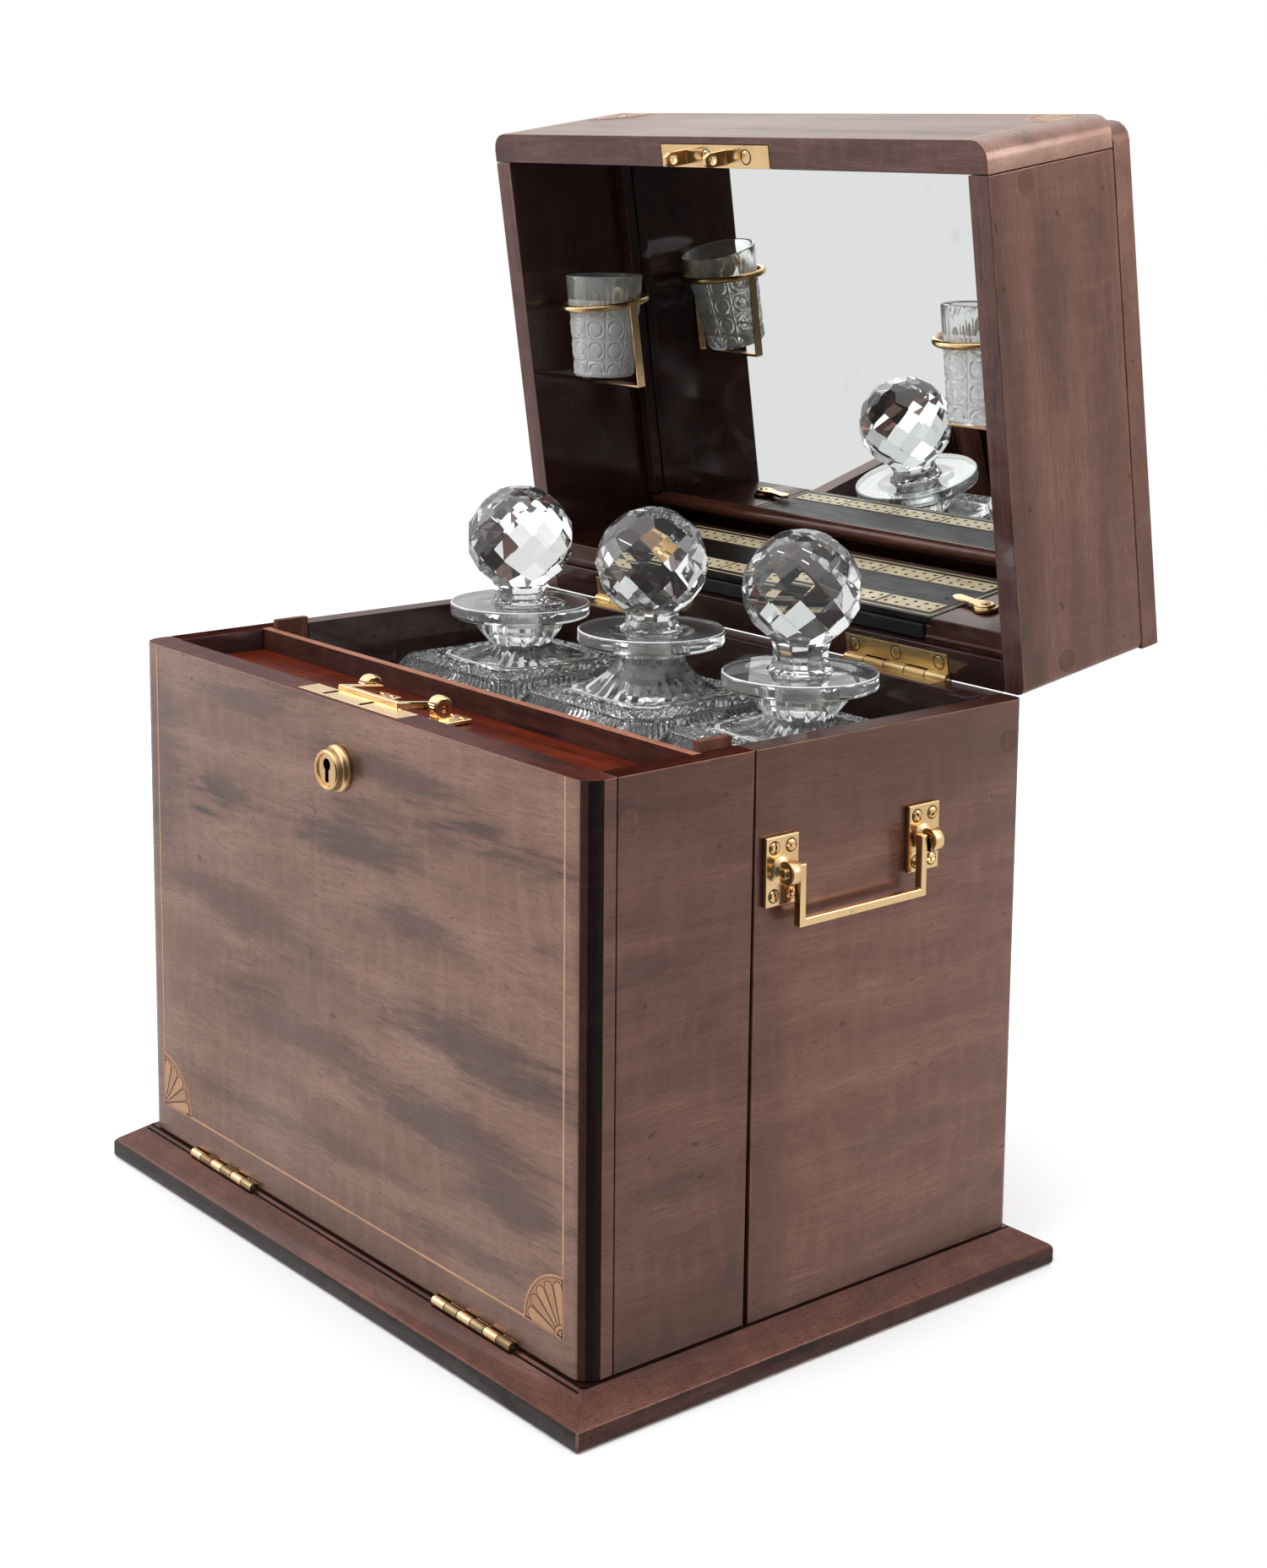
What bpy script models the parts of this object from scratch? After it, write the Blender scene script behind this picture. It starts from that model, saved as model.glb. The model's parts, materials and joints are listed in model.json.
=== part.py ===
"""Mahogany tantalus: a lockable case for three square decanters, with a lift-up lid and a fall-front.

Metres, +Z up. The origin is on the table, under the middle of the plinth. The front faces -Y and +X is the right side.
Depths are measured back from the front face of the body (function y_at) and heights from the body's rim (function z_at),
with the lid thought of as closed. The lid is then turned open about its hinge line by one empty, so everything that
belongs to it is drawn as it lies when the case is shut.
"""

import math

import bmesh
import bpy
from mathutils import Matrix, Vector

# ---------------------------------------------------------------- driving dimensions
BODY_W = 0.3300  # body, side to side
BODY_D = 0.2334  # body, front face to back face
BODY_H = 0.2343  # body, foot to rim
PLINTH_H = 0.0168
PLINTH_EDGE_H = 0.0081  # upright edge of the plinth moulding
OVER_FRONT = 0.0138  # how far the plinth stands out
OVER_SIDE = 0.0135
OVER_BACK = 0.0157
PLINTH_IN = 0.0120  # the moulding runs this far in under the body
FRONT_T = 0.0140  # front, back and lid-front boards
SIDE_T = 0.0110  # side boards
SPLIT_D = 0.0821  # depth of the joint between fall-front and carcass
LID_H = 0.0877
LID_TOP_T = 0.0109
LID_TOP_SET = 0.0040  # the lid's top board is set back this far in front
LID_OPEN = 81.67  # degrees, open lid against its stop
CORNER_R = 0.0080  # rounded upright corners in front
BACK_R = 0.0040
GAP = 0.0003  # clearance between pieces that touch

DECANTER_X = 0.0985  # pitch of the three decanters
DECANTER_D = 0.1672  # depth of their centres
DECANTER_HALF = 0.0478
FLANGE_R = 0.0335
FLANGE_TOPS = (0.0097, 0.0118, 0.0090)  # above the rim: the bottles are hand made and differ
FLANGE_T = 0.0066
BALL_R = 0.0257
BALL_CENTRES = (0.0402, 0.0418, 0.0440)

TUMBLER_X = 0.1310
TUMBLER_D = (0.0880, 0.0870)  # left, right: depth of the holder's ring
TUMBLER_RING_H = (0.0320, 0.0280)
TUMBLER_H = 0.0505

HINGE_FOOT_X = 0.0965
HINGE_FOOT_LEN = 0.0530
HINGE_LID_X = 0.0900
HINGE_LID_LEN = 0.0630

STAPLES_X = (-0.0200, 0.0070)
BOLT_TRAVEL = 0.0045

Y_FRONT = -(OVER_FRONT + BODY_D + OVER_BACK) / 2 + OVER_FRONT
Z_FOOT = PLINTH_H
Z_RIM = PLINTH_H + BODY_H
HALF = BODY_W / 2
IN_X = HALF - SIDE_T


def y_at(depth):
    return Y_FRONT + depth


def z_at(height):
    return Z_RIM + height


def z_up(height):
    return Z_FOOT + height


# ---------------------------------------------------------------- scene and helpers
for old in list(bpy.data.objects):
    bpy.data.objects.remove(old, do_unlink=True)

scene = bpy.context.scene
parts = bpy.data.collections.new("tantalus")
cutters = bpy.data.collections.new("tantalus_cutters")
scene.collection.children.link(parts)
scene.collection.children.link(cutters)

ORIGINS = {None: Vector((0, 0, 0))}


def material(name, colour, roughness, metallic=0.0, transmission=0.0):
    m = bpy.data.materials.new(name)
    m.use_nodes = True
    s = m.node_tree.nodes["Principled BSDF"]
    s.inputs["Base Color"].default_value = (*colour, 1)
    s.inputs["Roughness"].default_value = roughness
    s.inputs["Metallic"].default_value = metallic
    s.inputs["Transmission Weight"].default_value = transmission
    m.diffuse_color = (*colour, 1)
    return m


LOOKS = {
    "mahogany": ((0.165, 0.085, 0.060), 0.38, 0.0, 0.0),
    "mahogany_dark": ((0.035, 0.012, 0.012), 0.35, 0.0, 0.0),
    "mahogany_red": ((0.145, 0.022, 0.010), 0.25, 0.0, 0.0),
    "brass": ((0.72, 0.48, 0.22), 0.22, 1.0, 0.0),
    "glass": ((0.95, 0.97, 0.97), 0.03, 0.0, 1.0),
    "mirror_glass": ((0.85, 0.87, 0.86), 0.03, 1.0, 0.0),
    "ebonised": ((0.030, 0.026, 0.024), 0.40, 0.0, 0.0),
    "leathercloth": ((0.012, 0.012, 0.014), 0.55, 0.0, 0.0),
}


def empty(name, at, parent=None):
    e = bpy.data.objects.new(name, None)
    e.empty_display_size = 0.02
    parts.objects.link(e)
    e.parent = parent
    e.location = Vector(at) - ORIGINS[parent]
    ORIGINS[e] = Vector(at)
    return e


def place(name, mesh, look=None, parent=None, origin=None):
    """An object from a mesh drawn in the closed case's own place; its origin goes to origin, or to its middle."""
    if origin is None:
        corners = [v.co for v in mesh.vertices]
        origin = [
            (min(c[k] for c in corners) + max(c[k] for c in corners)) / 2
            for k in range(3)
        ]
    origin = Vector(origin)
    mesh.transform(Matrix.Translation(-origin))
    o = bpy.data.objects.new(name, mesh)
    (parts if look else cutters).objects.link(o)
    o.parent = parent
    o.location = origin - ORIGINS[parent]
    ORIGINS[o] = origin
    if look:
        mesh.materials.clear()
        mesh.materials.append(material(f"{name}_{look}", *LOOKS[look]))
    else:
        o.hide_render = True
        o.display_type = "WIRE"
    return o


def boolean(target, cutter, operation="DIFFERENCE"):
    m = target.modifiers.new(operation.lower(), "BOOLEAN")
    m.operation = operation
    m.solver = "EXACT"
    m.object = cutter


def cut(target, *meshes):
    for i, mesh in enumerate(meshes):
        boolean(target, place(f"cut_{target.name}_{i}", mesh, parent=target.parent))


def join(target, *meshes):
    for i, mesh in enumerate(meshes):
        boolean(
            target,
            place(f"add_{target.name}_{i}", mesh, parent=target.parent),
            "UNION",
        )


def from_bmesh(bm, name="shape"):
    bmesh.ops.recalc_face_normals(bm, faces=bm.faces)
    mesh = bpy.data.meshes.new(name)
    bm.to_mesh(mesh)
    bm.free()
    return mesh


def smooth(mesh, angle=35):
    mesh.shade_smooth()
    mesh.set_sharp_from_angle(angle=math.radians(angle))
    return mesh


def block(x, y, z):
    """A box from three (low, high) pairs."""
    bm = bmesh.new()
    bmesh.ops.create_cube(bm, size=1)
    for v in bm.verts:
        v.co = Vector(
            [(lo + hi) / 2 + c * (hi - lo) for c, (lo, hi) in zip(v.co, (x, y, z))]
        )
    return from_bmesh(bm)


TURN = {
    "X": Matrix.Rotation(math.pi / 2, 4, "Y"),
    "Y": Matrix.Rotation(math.pi / 2, 4, "X"),
    "Z": Matrix.Identity(4),
}


def rod(axis, centre, radius, length, sides=16, radius2=None):
    """A cylinder, or a cone where radius2 is given, along an axis through its centre."""
    bm = bmesh.new()
    bmesh.ops.create_cone(
        bm,
        cap_ends=True,
        segments=sides,
        radius1=radius,
        radius2=radius if radius2 is None else radius2,
        depth=length,
    )
    bmesh.ops.transform(
        bm, matrix=Matrix.Translation(Vector(centre)) @ TURN[axis], verts=bm.verts
    )
    return smooth(from_bmesh(bm))


PLANES = {
    "XY": Matrix(((1, 0, 0, 0), (0, 1, 0, 0), (0, 0, 1, 0), (0, 0, 0, 1))),
    "XZ": Matrix(((1, 0, 0, 0), (0, 0, -1, 0), (0, 1, 0, 0), (0, 0, 0, 1))),
    "YZ": Matrix(((0, 0, 1, 0), (1, 0, 0, 0), (0, 1, 0, 0), (0, 0, 0, 1))),
}


def prism(points, plane, lo, hi):
    """A flat outline in one plane, with thickness from lo to hi along the third axis."""
    curve = bpy.data.curves.new("outline", "CURVE")
    curve.dimensions = "2D"
    curve.fill_mode = "BOTH"
    curve.extrude = (hi - lo) / 2
    spline = curve.splines.new("POLY")
    spline.points.add(len(points) - 1)
    for p, (u, v) in zip(spline.points, points):
        p.co = (u, v, 0, 1)
    spline.use_cyclic_u = True
    o = bpy.data.objects.new("outline", curve)
    scene.collection.objects.link(o)
    bpy.context.view_layer.update()
    mesh = bpy.data.meshes.new_from_object(
        o.evaluated_get(bpy.context.evaluated_depsgraph_get())
    )
    bpy.data.objects.remove(o, do_unlink=True)
    middle = (lo + hi) / 2
    if plane == "XZ":
        middle = -middle
    mesh.transform(PLANES[plane] @ Matrix.Translation((0, 0, middle)))
    bm = bmesh.new()
    bm.from_mesh(mesh)
    bmesh.ops.remove_doubles(bm, verts=bm.verts, dist=0.00001)
    bpy.data.meshes.remove(mesh)
    return from_bmesh(bm)


def turned(profile, steps, matrix=Matrix.Identity(4), closed=False):
    """A profile of (radius, height) points turned about Z, then carried by matrix."""
    mesh = bpy.data.meshes.new("profile")
    n = len(profile)
    edges = [(i, (i + 1) % n) for i in range(n if closed else n - 1)]
    mesh.from_pydata([(r, 0, h) for r, h in profile], edges, [])
    o = bpy.data.objects.new("profile", mesh)
    scene.collection.objects.link(o)
    m = o.modifiers.new("screw", "SCREW")
    m.steps = m.render_steps = steps
    m.use_merge_vertices = True
    m.merge_threshold = 0.00001
    bpy.context.view_layer.update()
    out = bpy.data.meshes.new_from_object(
        o.evaluated_get(bpy.context.evaluated_depsgraph_get())
    )
    bpy.data.objects.remove(o, do_unlink=True)
    out.transform(matrix)
    bm = bmesh.new()
    bm.from_mesh(out)
    bmesh.ops.remove_doubles(bm, verts=bm.verts, dist=0.00001)
    bpy.data.meshes.remove(out)
    return smooth(from_bmesh(bm))


def arc(cx, cy, r, start, end, steps):
    """Points on an arc, angles in degrees."""
    return [
        (
            cx + r * math.cos(math.radians(start + (end - start) * i / steps)),
            cy + r * math.sin(math.radians(start + (end - start) * i / steps)),
        )
        for i in range(steps + 1)
    ]


def front_plan(half, d0, d1, r, steps=4):
    """Plan of a board with rounded front corners."""
    y0, y1 = y_at(d0), y_at(d1)
    return (
        [(half, y1), (-half, y1)]
        + arc(-half + r, y0 + r, r, 180, 270, steps)
        + arc(half - r, y0 + r, r, 270, 360, steps)
    )


def side_plan(sign, d0, d1, r, steps=3):
    """Plan of a right or left side board with its outer back corner rounded."""
    y0, y1 = y_at(d0), y_at(d1)
    points = [(IN_X, y0), (HALF, y0)] + arc(HALF - r, y1 - r, r, 0, 90, steps)
    points += [(IN_X, y1)]
    return [(sign * x, y) for x, y in points]


# ---------------------------------------------------------------- pivots
Z_HINGE = z_at(GAP / 2)
lid = empty("lid_pivot", (0, y_at(BODY_D), Z_HINGE))
FALL_Y, FALL_Z = y_at(-0.0018), z_up(0.0003)
fall = empty("fall_front_pivot", (0, FALL_Y, FALL_Z))
drawer = empty("drawer_slide", (0, y_at(0.036), z_at(-0.0095)), fall)

# ---------------------------------------------------------------- plinth and carcass
place(
    "base_board",
    block(
        (-HALF + PLINTH_IN + GAP, HALF - PLINTH_IN - GAP),
        (y_at(PLINTH_IN + GAP), y_at(BODY_D - PLINTH_IN - GAP)),
        (0, PLINTH_H),
    ),
    "mahogany_dark",
)


def mitred_frame(profile):
    """A moulding carried round a rectangle with mitred corners. profile holds (way out, height) points."""
    bm = bmesh.new()
    rings = []
    for out, z in profile:
        share = out / OVER_FRONT if out > 0 else 0
        side = HALF + (OVER_SIDE * share if out > 0 else out)
        front = Y_FRONT - (OVER_FRONT * share if out > 0 else out)
        back = y_at(BODY_D) + (OVER_BACK * share if out > 0 else out)
        rings.append(
            [
                bm.verts.new(p)
                for p in (
                    (-side, front, z),
                    (side, front, z),
                    (side, back, z),
                    (-side, back, z),
                )
            ]
        )
    for a, b in zip(rings, rings[1:] + rings[:1]):
        for k in range(4):
            bm.faces.new((a[k], a[(k + 1) % 4], b[(k + 1) % 4], b[k]))
    return from_bmesh(bm)


plinth = place(
    "plinth",
    mitred_frame(
        [
            (-PLINTH_IN, 0),
            (0.0130, 0),
            (OVER_FRONT, 0.0009),
            (OVER_FRONT, 0.0067),
            (0.0134, 0.0081),
            (0.0122, 0.0092),
            (0.0008, PLINTH_H),
            (-PLINTH_IN, PLINTH_H),
        ]
    ),
    "mahogany",
)
FOOT_HALF = HINGE_FOOT_LEN / 2
for s in (-1, 1):
    x = s * HINGE_FOOT_X
    cut(
        plinth,
        block(
            (x - FOOT_HALF - GAP, x + FOOT_HALF + GAP),
            (FALL_Y, y_at(0.0104)),
            (z_up(-0.0015), z_up(0.0020)),
        ),
        rod("X", (x, FALL_Y, FALL_Z), 0.0026, HINGE_FOOT_LEN + 2 * GAP),
    )

for side, s in (("left", -1), ("right", 1)):
    place(
        f"carcass_{side}",
        prism(
            side_plan(s, SPLIT_D + 0.0005, BODY_D, BACK_R),
            "XY",
            z_up(GAP),
            z_at(0),
        ),
        "mahogany",
    )

back = place(
    "carcass_back",
    block(
        (-IN_X + GAP, IN_X - GAP),
        (y_at(BODY_D - FRONT_T), y_at(BODY_D)),
        (z_up(GAP), z_at(0)),
    ),
    "mahogany",
)
LID_HALF = HINGE_LID_LEN / 2
for s in (-1, 1):
    x = s * HINGE_LID_X
    cut(
        back,
        block(
            (x - LID_HALF - GAP, x + LID_HALF + GAP),
            (y_at(0.2219), y_at(BODY_D + 0.004)),
            (z_at(-0.0016), z_at(0.003)),
        ),
        rod("X", (x, y_at(BODY_D), Z_HINGE), 0.0029, HINGE_LID_LEN + 2 * GAP),
    )

place(
    "well_floor",
    block(
        (-IN_X + GAP, IN_X - GAP),
        (y_at(SPLIT_D + 0.0007), y_at(BODY_D - FRONT_T - GAP)),
        (z_up(GAP), z_up(0.0103)),
    ),
    "mahogany_dark",
)

# decanter rack: a front rail, two side rails and two partitions, with a post in each back corner
RACK_BACK = BODY_D - FRONT_T - 2 * GAP
RACK_FRONT = DECANTER_D - DECANTER_HALF - 0.0040
rail = 0.0030
edge = IN_X - GAP
inner_edge = DECANTER_X + DECANTER_HALF + 0.0012
part_lo = DECANTER_HALF + 0.0007
part_hi = DECANTER_X - DECANTER_HALF - 0.0006


def comb_half(s):
    """Half of the rack's plan, from the middle of its front rail to the outside."""
    inside = [
        (0, RACK_FRONT + rail),
        (part_lo, RACK_FRONT + rail),
        (part_lo, RACK_BACK),
        (part_hi, RACK_BACK),
        (part_hi, RACK_FRONT + rail),
        (inner_edge, RACK_FRONT + rail),
        (inner_edge, RACK_BACK),
        (edge, RACK_BACK),
        (edge, RACK_FRONT),
    ]
    return [(s * x, y_at(d)) for x, d in inside]


right_half = comb_half(1)
left_half = comb_half(-1)
rack = place(
    "decanter_rack",
    prism(right_half + left_half[:0:-1], "XY", z_up(0.0106), z_up(0.0520)),
    "mahogany_dark",
)
for s in (-1, 1):
    join(
        rack,
        block(
            sorted((s * 0.1436, s * (edge - 0.0001))),
            (y_at(0.2090), y_at(0.2184)),
            (z_up(0.0300), z_at(0.0015)),
        ),
    )


# ---------------------------------------------------------------- hinges
def hinge_leaf(name, parent, x, half, axis_y, axis_z, radius, leaf, count, odd, pin):
    """One leaf of a butt hinge: a plate and every other knuckle. The lower leaf carries the pin.

    leaf is (y low, y high, z low, z high) of the plate, drawn as when the case is shut.
    """
    width = 2 * half / count
    plate = block(
        (x - half, x + half),
        leaf[0:2],
        leaf[2:4],
    )
    o = place(name, plate, "brass", parent=parent)
    turning = not pin
    for k in range(count):
        lo = x - half + k * width
        if (k % 2 == 0) != odd:
            # room beside the plate for the other leaf's knuckle
            cut_lo = lo - (GAP / 2 if k else 0.001)
            cut_hi = lo + width + (GAP / 2 if k < count - 1 else 0.001)
            boolean(
                o,
                place(
                    f"cut_{name}_{k}",
                    rod(
                        "X",
                        ((cut_lo + cut_hi) / 2, axis_y, axis_z),
                        radius + GAP,
                        cut_hi - cut_lo,
                    ),
                    parent=parent,
                ),
            )
    for k in range(count):
        lo = x - half + k * width
        if (k % 2 == 0) == odd:
            boolean(
                o,
                place(
                    f"add_{name}_{k}",
                    rod(
                        "X",
                        (lo + width / 2, axis_y, axis_z),
                        radius,
                        width - GAP,
                        12,
                    ),
                    parent=parent,
                ),
                "UNION",
            )
    if turning:
        boolean(
            o,
            place(
                f"bore_{name}",
                rod("X", (x, axis_y, axis_z), radius * 0.55, 2 * half + 0.004, 8),
                parent=parent,
            ),
        )
    else:
        boolean(
            o,
            place(
                f"pin_{name}",
                rod(
                    "X",
                    (x, axis_y, axis_z),
                    radius * 0.55 * math.cos(math.pi / 8) - 0.0002,
                    2 * half - 0.0002,
                    8,
                ),
                parent=parent,
            ),
            "UNION",
        )
    return o


for side, s in (("left", -1), ("right", 1)):
    x = s * HINGE_FOOT_X
    hinge_leaf(
        f"front_hinge_lower_{side}",
        None,
        x,
        FOOT_HALF,
        FALL_Y,
        FALL_Z,
        0.0022,
        (FALL_Y - 0.0004, y_at(0.0100), z_up(-0.0011), z_up(-0.0001)),
        6,
        False,
        True,
    )
    hinge_leaf(
        f"front_hinge_upper_{side}",
        fall,
        x,
        FOOT_HALF,
        FALL_Y,
        FALL_Z,
        0.0022,
        (FALL_Y - 0.0004, y_at(0.0100), z_up(0.0007), z_up(0.0017)),
        6,
        True,
        False,
    )
    x = s * HINGE_LID_X
    hinge_leaf(
        f"lid_hinge_lower_{side}",
        None,
        x,
        LID_HALF,
        y_at(BODY_D),
        Z_HINGE,
        0.0025,
        (y_at(0.2222), y_at(BODY_D) + 0.0004, z_at(-0.0013), z_at(-0.0001)),
        5,
        False,
        True,
    )
    hinge_leaf(
        f"lid_hinge_upper_{side}",
        lid,
        x,
        LID_HALF,
        y_at(BODY_D),
        Z_HINGE,
        0.0025,
        (y_at(0.2222), y_at(BODY_D) + 0.0004, z_at(0.0004), z_at(0.0016)),
        5,
        True,
        False,
    )

# ---------------------------------------------------------------- side handles
PLATE_D = (0.0950, 0.1732)
PIVOT_H = -0.0493
PIVOT_X = HALF + 0.0066
for side, s in (("right", 1), ("left", -1)):
    for where, d in zip(("front", "rear"), PLATE_D):
        plate = place(
            f"handle_plate_{side}_{where}",
            block(
                sorted((s * (HALF + GAP), s * (HALF + 0.0023))),
                (y_at(d - 0.0087), y_at(d + 0.0087)),
                (z_at(PIVOT_H - 0.0140), z_at(PIVOT_H + 0.0140)),
            ),
            "brass",
        )
        join(
            plate,
            rod("Y", (s * PIVOT_X, y_at(d), z_at(PIVOT_H)), 0.0050, 0.0052, 16),
        )
        cut(
            plate,
            rod("Y", (s * PIVOT_X, y_at(d), z_at(PIVOT_H)), 0.0019, 0.0100, 12),
        )
    mid = sum(PLATE_D) / 2
    outer, wire = 0.0352, 0.0036
    foot = PIVOT_H - 0.0227
    top = PIVOT_H + 0.0030
    bail = place(
        f"bail_{side}",
        prism(
            [
                (y_at(mid - outer), z_at(top)),
                (y_at(mid - outer), z_at(foot)),
                (y_at(mid + outer), z_at(foot)),
                (y_at(mid + outer), z_at(top)),
                (y_at(mid + outer - wire), z_at(top)),
                (y_at(mid + outer - wire), z_at(foot + wire)),
                (y_at(mid - outer + wire), z_at(foot + wire)),
                (y_at(mid - outer + wire), z_at(top)),
            ],
            "YZ",
            *sorted((s * (PIVOT_X - wire / 2), s * (PIVOT_X + wire / 2))),
        ),
        "brass",
        origin=(s * PIVOT_X, y_at(mid), z_at(PIVOT_H)),
    )
    for d, e in zip(PLATE_D, (1, -1)):
        near = mid - e * (outer - 0.0010)
        far = d - e * 0.0030
        join(
            bail,
            rod(
                "Y",
                (s * PIVOT_X, y_at((near + far) / 2), z_at(PIVOT_H)),
                0.0014,
                abs(near - far),
                10,
            ),
        )

# ---------------------------------------------------------------- fall-front
FALL_BOTTOM = z_up(0.0006)
KEY_H = -0.0275
front = place(
    "front_board",
    prism(
        front_plan(HALF, 0, FRONT_T, CORNER_R),
        "XY",
        FALL_BOTTOM,
        z_at(0),
    ),
    "mahogany",
    parent=fall,
)
cut(
    front,
    block((-0.0373, 0.0373), (y_at(0.0034), y_at(0.0160)), (z_at(-0.0021), z_at(0.002))),
    block((-0.0303, 0.0303), (y_at(0.0038), y_at(0.0160)), (z_at(-0.0403), z_at(0.002))),
    rod("Y", (0, y_at(0.003), z_at(KEY_H)), 0.0028, 0.0120, 12),
    block((-0.0014, 0.0014), (y_at(-0.003), y_at(0.0060)), (z_at(KEY_H - 0.0085), z_at(KEY_H))),
)
for s in (-1, 1):
    x = s * HINGE_FOOT_X
    cut(
        front,
        block(
            (x - FOOT_HALF - GAP, x + FOOT_HALF + GAP),
            (y_at(-0.002), y_at(0.0104)),
            (z_up(-0.001), z_up(0.0020)),
        ),
        rod("X", (x, FALL_Y, FALL_Z), 0.0026, HINGE_FOOT_LEN + 2 * GAP),
    )

PANEL_D = (0.0580, 0.0625)
for side, s in (("left", -1), ("right", 1)):
    cheek = place(
        f"cheek_{side}",
        prism(
            [
                (y_at(FRONT_T + GAP), FALL_BOTTOM),
                (y_at(SPLIT_D - 0.0018), FALL_BOTTOM),
                (y_at(SPLIT_D - 0.0003), z_at(0)),
                (y_at(FRONT_T + GAP), z_at(0)),
            ],
            "YZ",
            *sorted((s * IN_X, s * HALF)),
        ),
        "mahogany",
        parent=fall,
    )
    cut(
        cheek,
        block(
            sorted((s * (IN_X - 0.004), s * (IN_X + 0.0020))),
            (y_at(PANEL_D[0] - GAP), y_at(PANEL_D[1] + GAP)),
            (z_up(0.0110), z_at(0.010)),
        ),
    )
    place(
        f"tongue_{side}",
        block(
            sorted((s * (IN_X - 0.0040), s * (IN_X - GAP))),
            (y_at(PANEL_D[1] + 2 * GAP), y_at(0.0800)),
            (z_at(-0.0600), z_at(0.0040)),
        ),
        "mahogany",
        parent=fall,
    )
place(
    "foot_board",
    block(
        (-IN_X + GAP, IN_X - GAP),
        (y_at(FRONT_T + GAP), y_at(0.0800)),
        (FALL_BOTTOM, z_up(0.0108)),
    ),
    "mahogany_dark",
    parent=fall,
)
place(
    "inner_panel",
    block(
        (-IN_X - 0.0017, IN_X + 0.0017),
        (y_at(PANEL_D[0]), y_at(PANEL_D[1])),
        (z_up(0.0113), z_at(0)),
    ),
    "mahogany_dark",
    parent=fall,
)

# box lock: the selvage plate is let in flush with the rim, the case below it holds the bolt
lock = place(
    "box_lock",
    block((-0.0300, 0.0300), (y_at(0.0042), y_at(0.0140)), (z_at(-0.0400), z_at(-0.0010))),
    "brass",
    parent=fall,
)
join(
    lock,
    block((-0.0370, 0.0370), (y_at(0.0037), y_at(0.0141)), (z_at(-0.0018), z_at(-0.0001))),
)
cut(
    lock,
    block((-0.0275, 0.0275), (y_at(0.0052), y_at(0.0132)), (z_at(-0.0370), z_at(-0.0030))),
    *[
        block((x - 0.0017, x + 0.0017), (y_at(0.0052), y_at(0.0132)), (z_at(-0.0050), z_at(0.0020)))
        for x in STAPLES_X
    ],
    rod("Y", (0, y_at(0.004), z_at(KEY_H)), 0.0024, 0.0060, 12),
)

bolt_points = []
BAR = (-0.0220, -0.0140)
right_prong = STAPLES_X[1]
left_prong = STAPLES_X[0]
NOSE = (-0.0084, -0.0066)
bolt_points = [
    (left_prong + 0.0070, z_at(BAR[0])),
    (right_prong + 0.0095, z_at(BAR[0])),
    (right_prong + 0.0095, z_at(NOSE[1])),
    (right_prong + 0.0020, z_at(NOSE[1])),
    (right_prong + 0.0020, z_at(NOSE[0])),
    (right_prong + 0.0070, z_at(NOSE[0])),
    (right_prong + 0.0070, z_at(BAR[1])),
    (left_prong + 0.0095, z_at(BAR[1])),
    (left_prong + 0.0095, z_at(NOSE[1])),
    (left_prong + 0.0020, z_at(NOSE[1])),
    (left_prong + 0.0020, z_at(NOSE[0])),
    (left_prong + 0.0070, z_at(NOSE[0])),
]
place(
    "lock_bolt",
    prism(bolt_points, "XZ", y_at(0.0078), y_at(0.0107)),
    "brass",
    parent=fall,
    origin=(0, y_at(0.0092), z_at(-0.018)),
)

escutcheon = place(
    "escutcheon",
    turned(
        [
            (0, 0.0060),
            (0.0058, 0.0060),
            (0.0062, 0.0068),
            (0.0080, 0.0068),
            (0.0086, 0.0062),
            (0.0086, 0.0036),
            (0.0094, 0.0022),
            (0.0100, 0.0018),
            (0.0100, GAP),
            (0, GAP),
        ],
        20,
        Matrix.Translation((0, Y_FRONT, z_at(KEY_H))) @ Matrix.Rotation(math.pi / 2, 4, "X"),
    ),
    "brass",
    parent=fall,
)
cut(
    escutcheon,
    rod("Y", (0, y_at(-0.003), z_at(KEY_H + 0.0012)), 0.0019, 0.0120, 10),
    block((-0.0010, 0.0010), (y_at(-0.009), y_at(0.002)), (z_at(KEY_H - 0.0042), z_at(KEY_H + 0.0010))),
)

# ---------------------------------------------------------------- drawer in the fall-front
DRAWER_TOP = -0.0095
place(
    "drawer_front",
    block(
        (-0.1532, 0.1532),
        (y_at(0.0150), y_at(0.0572)),
        (z_at(DRAWER_TOP - 0.0080), z_at(DRAWER_TOP)),
    ),
    "mahogany_red",
    parent=drawer,
)
tray = place(
    "drawer_tray",
    block(
        (-0.1510, 0.1510),
        (y_at(0.0153), y_at(0.0568)),
        (z_up(0.0120), z_at(DRAWER_TOP - 0.0083)),
    ),
    "mahogany_dark",
    parent=drawer,
)
cut(
    tray,
    block(
        (-0.1455, 0.1455),
        (y_at(0.0198), y_at(0.0700)),
        (z_up(0.0175), z_at(DRAWER_TOP)),
    ),
)

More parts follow.
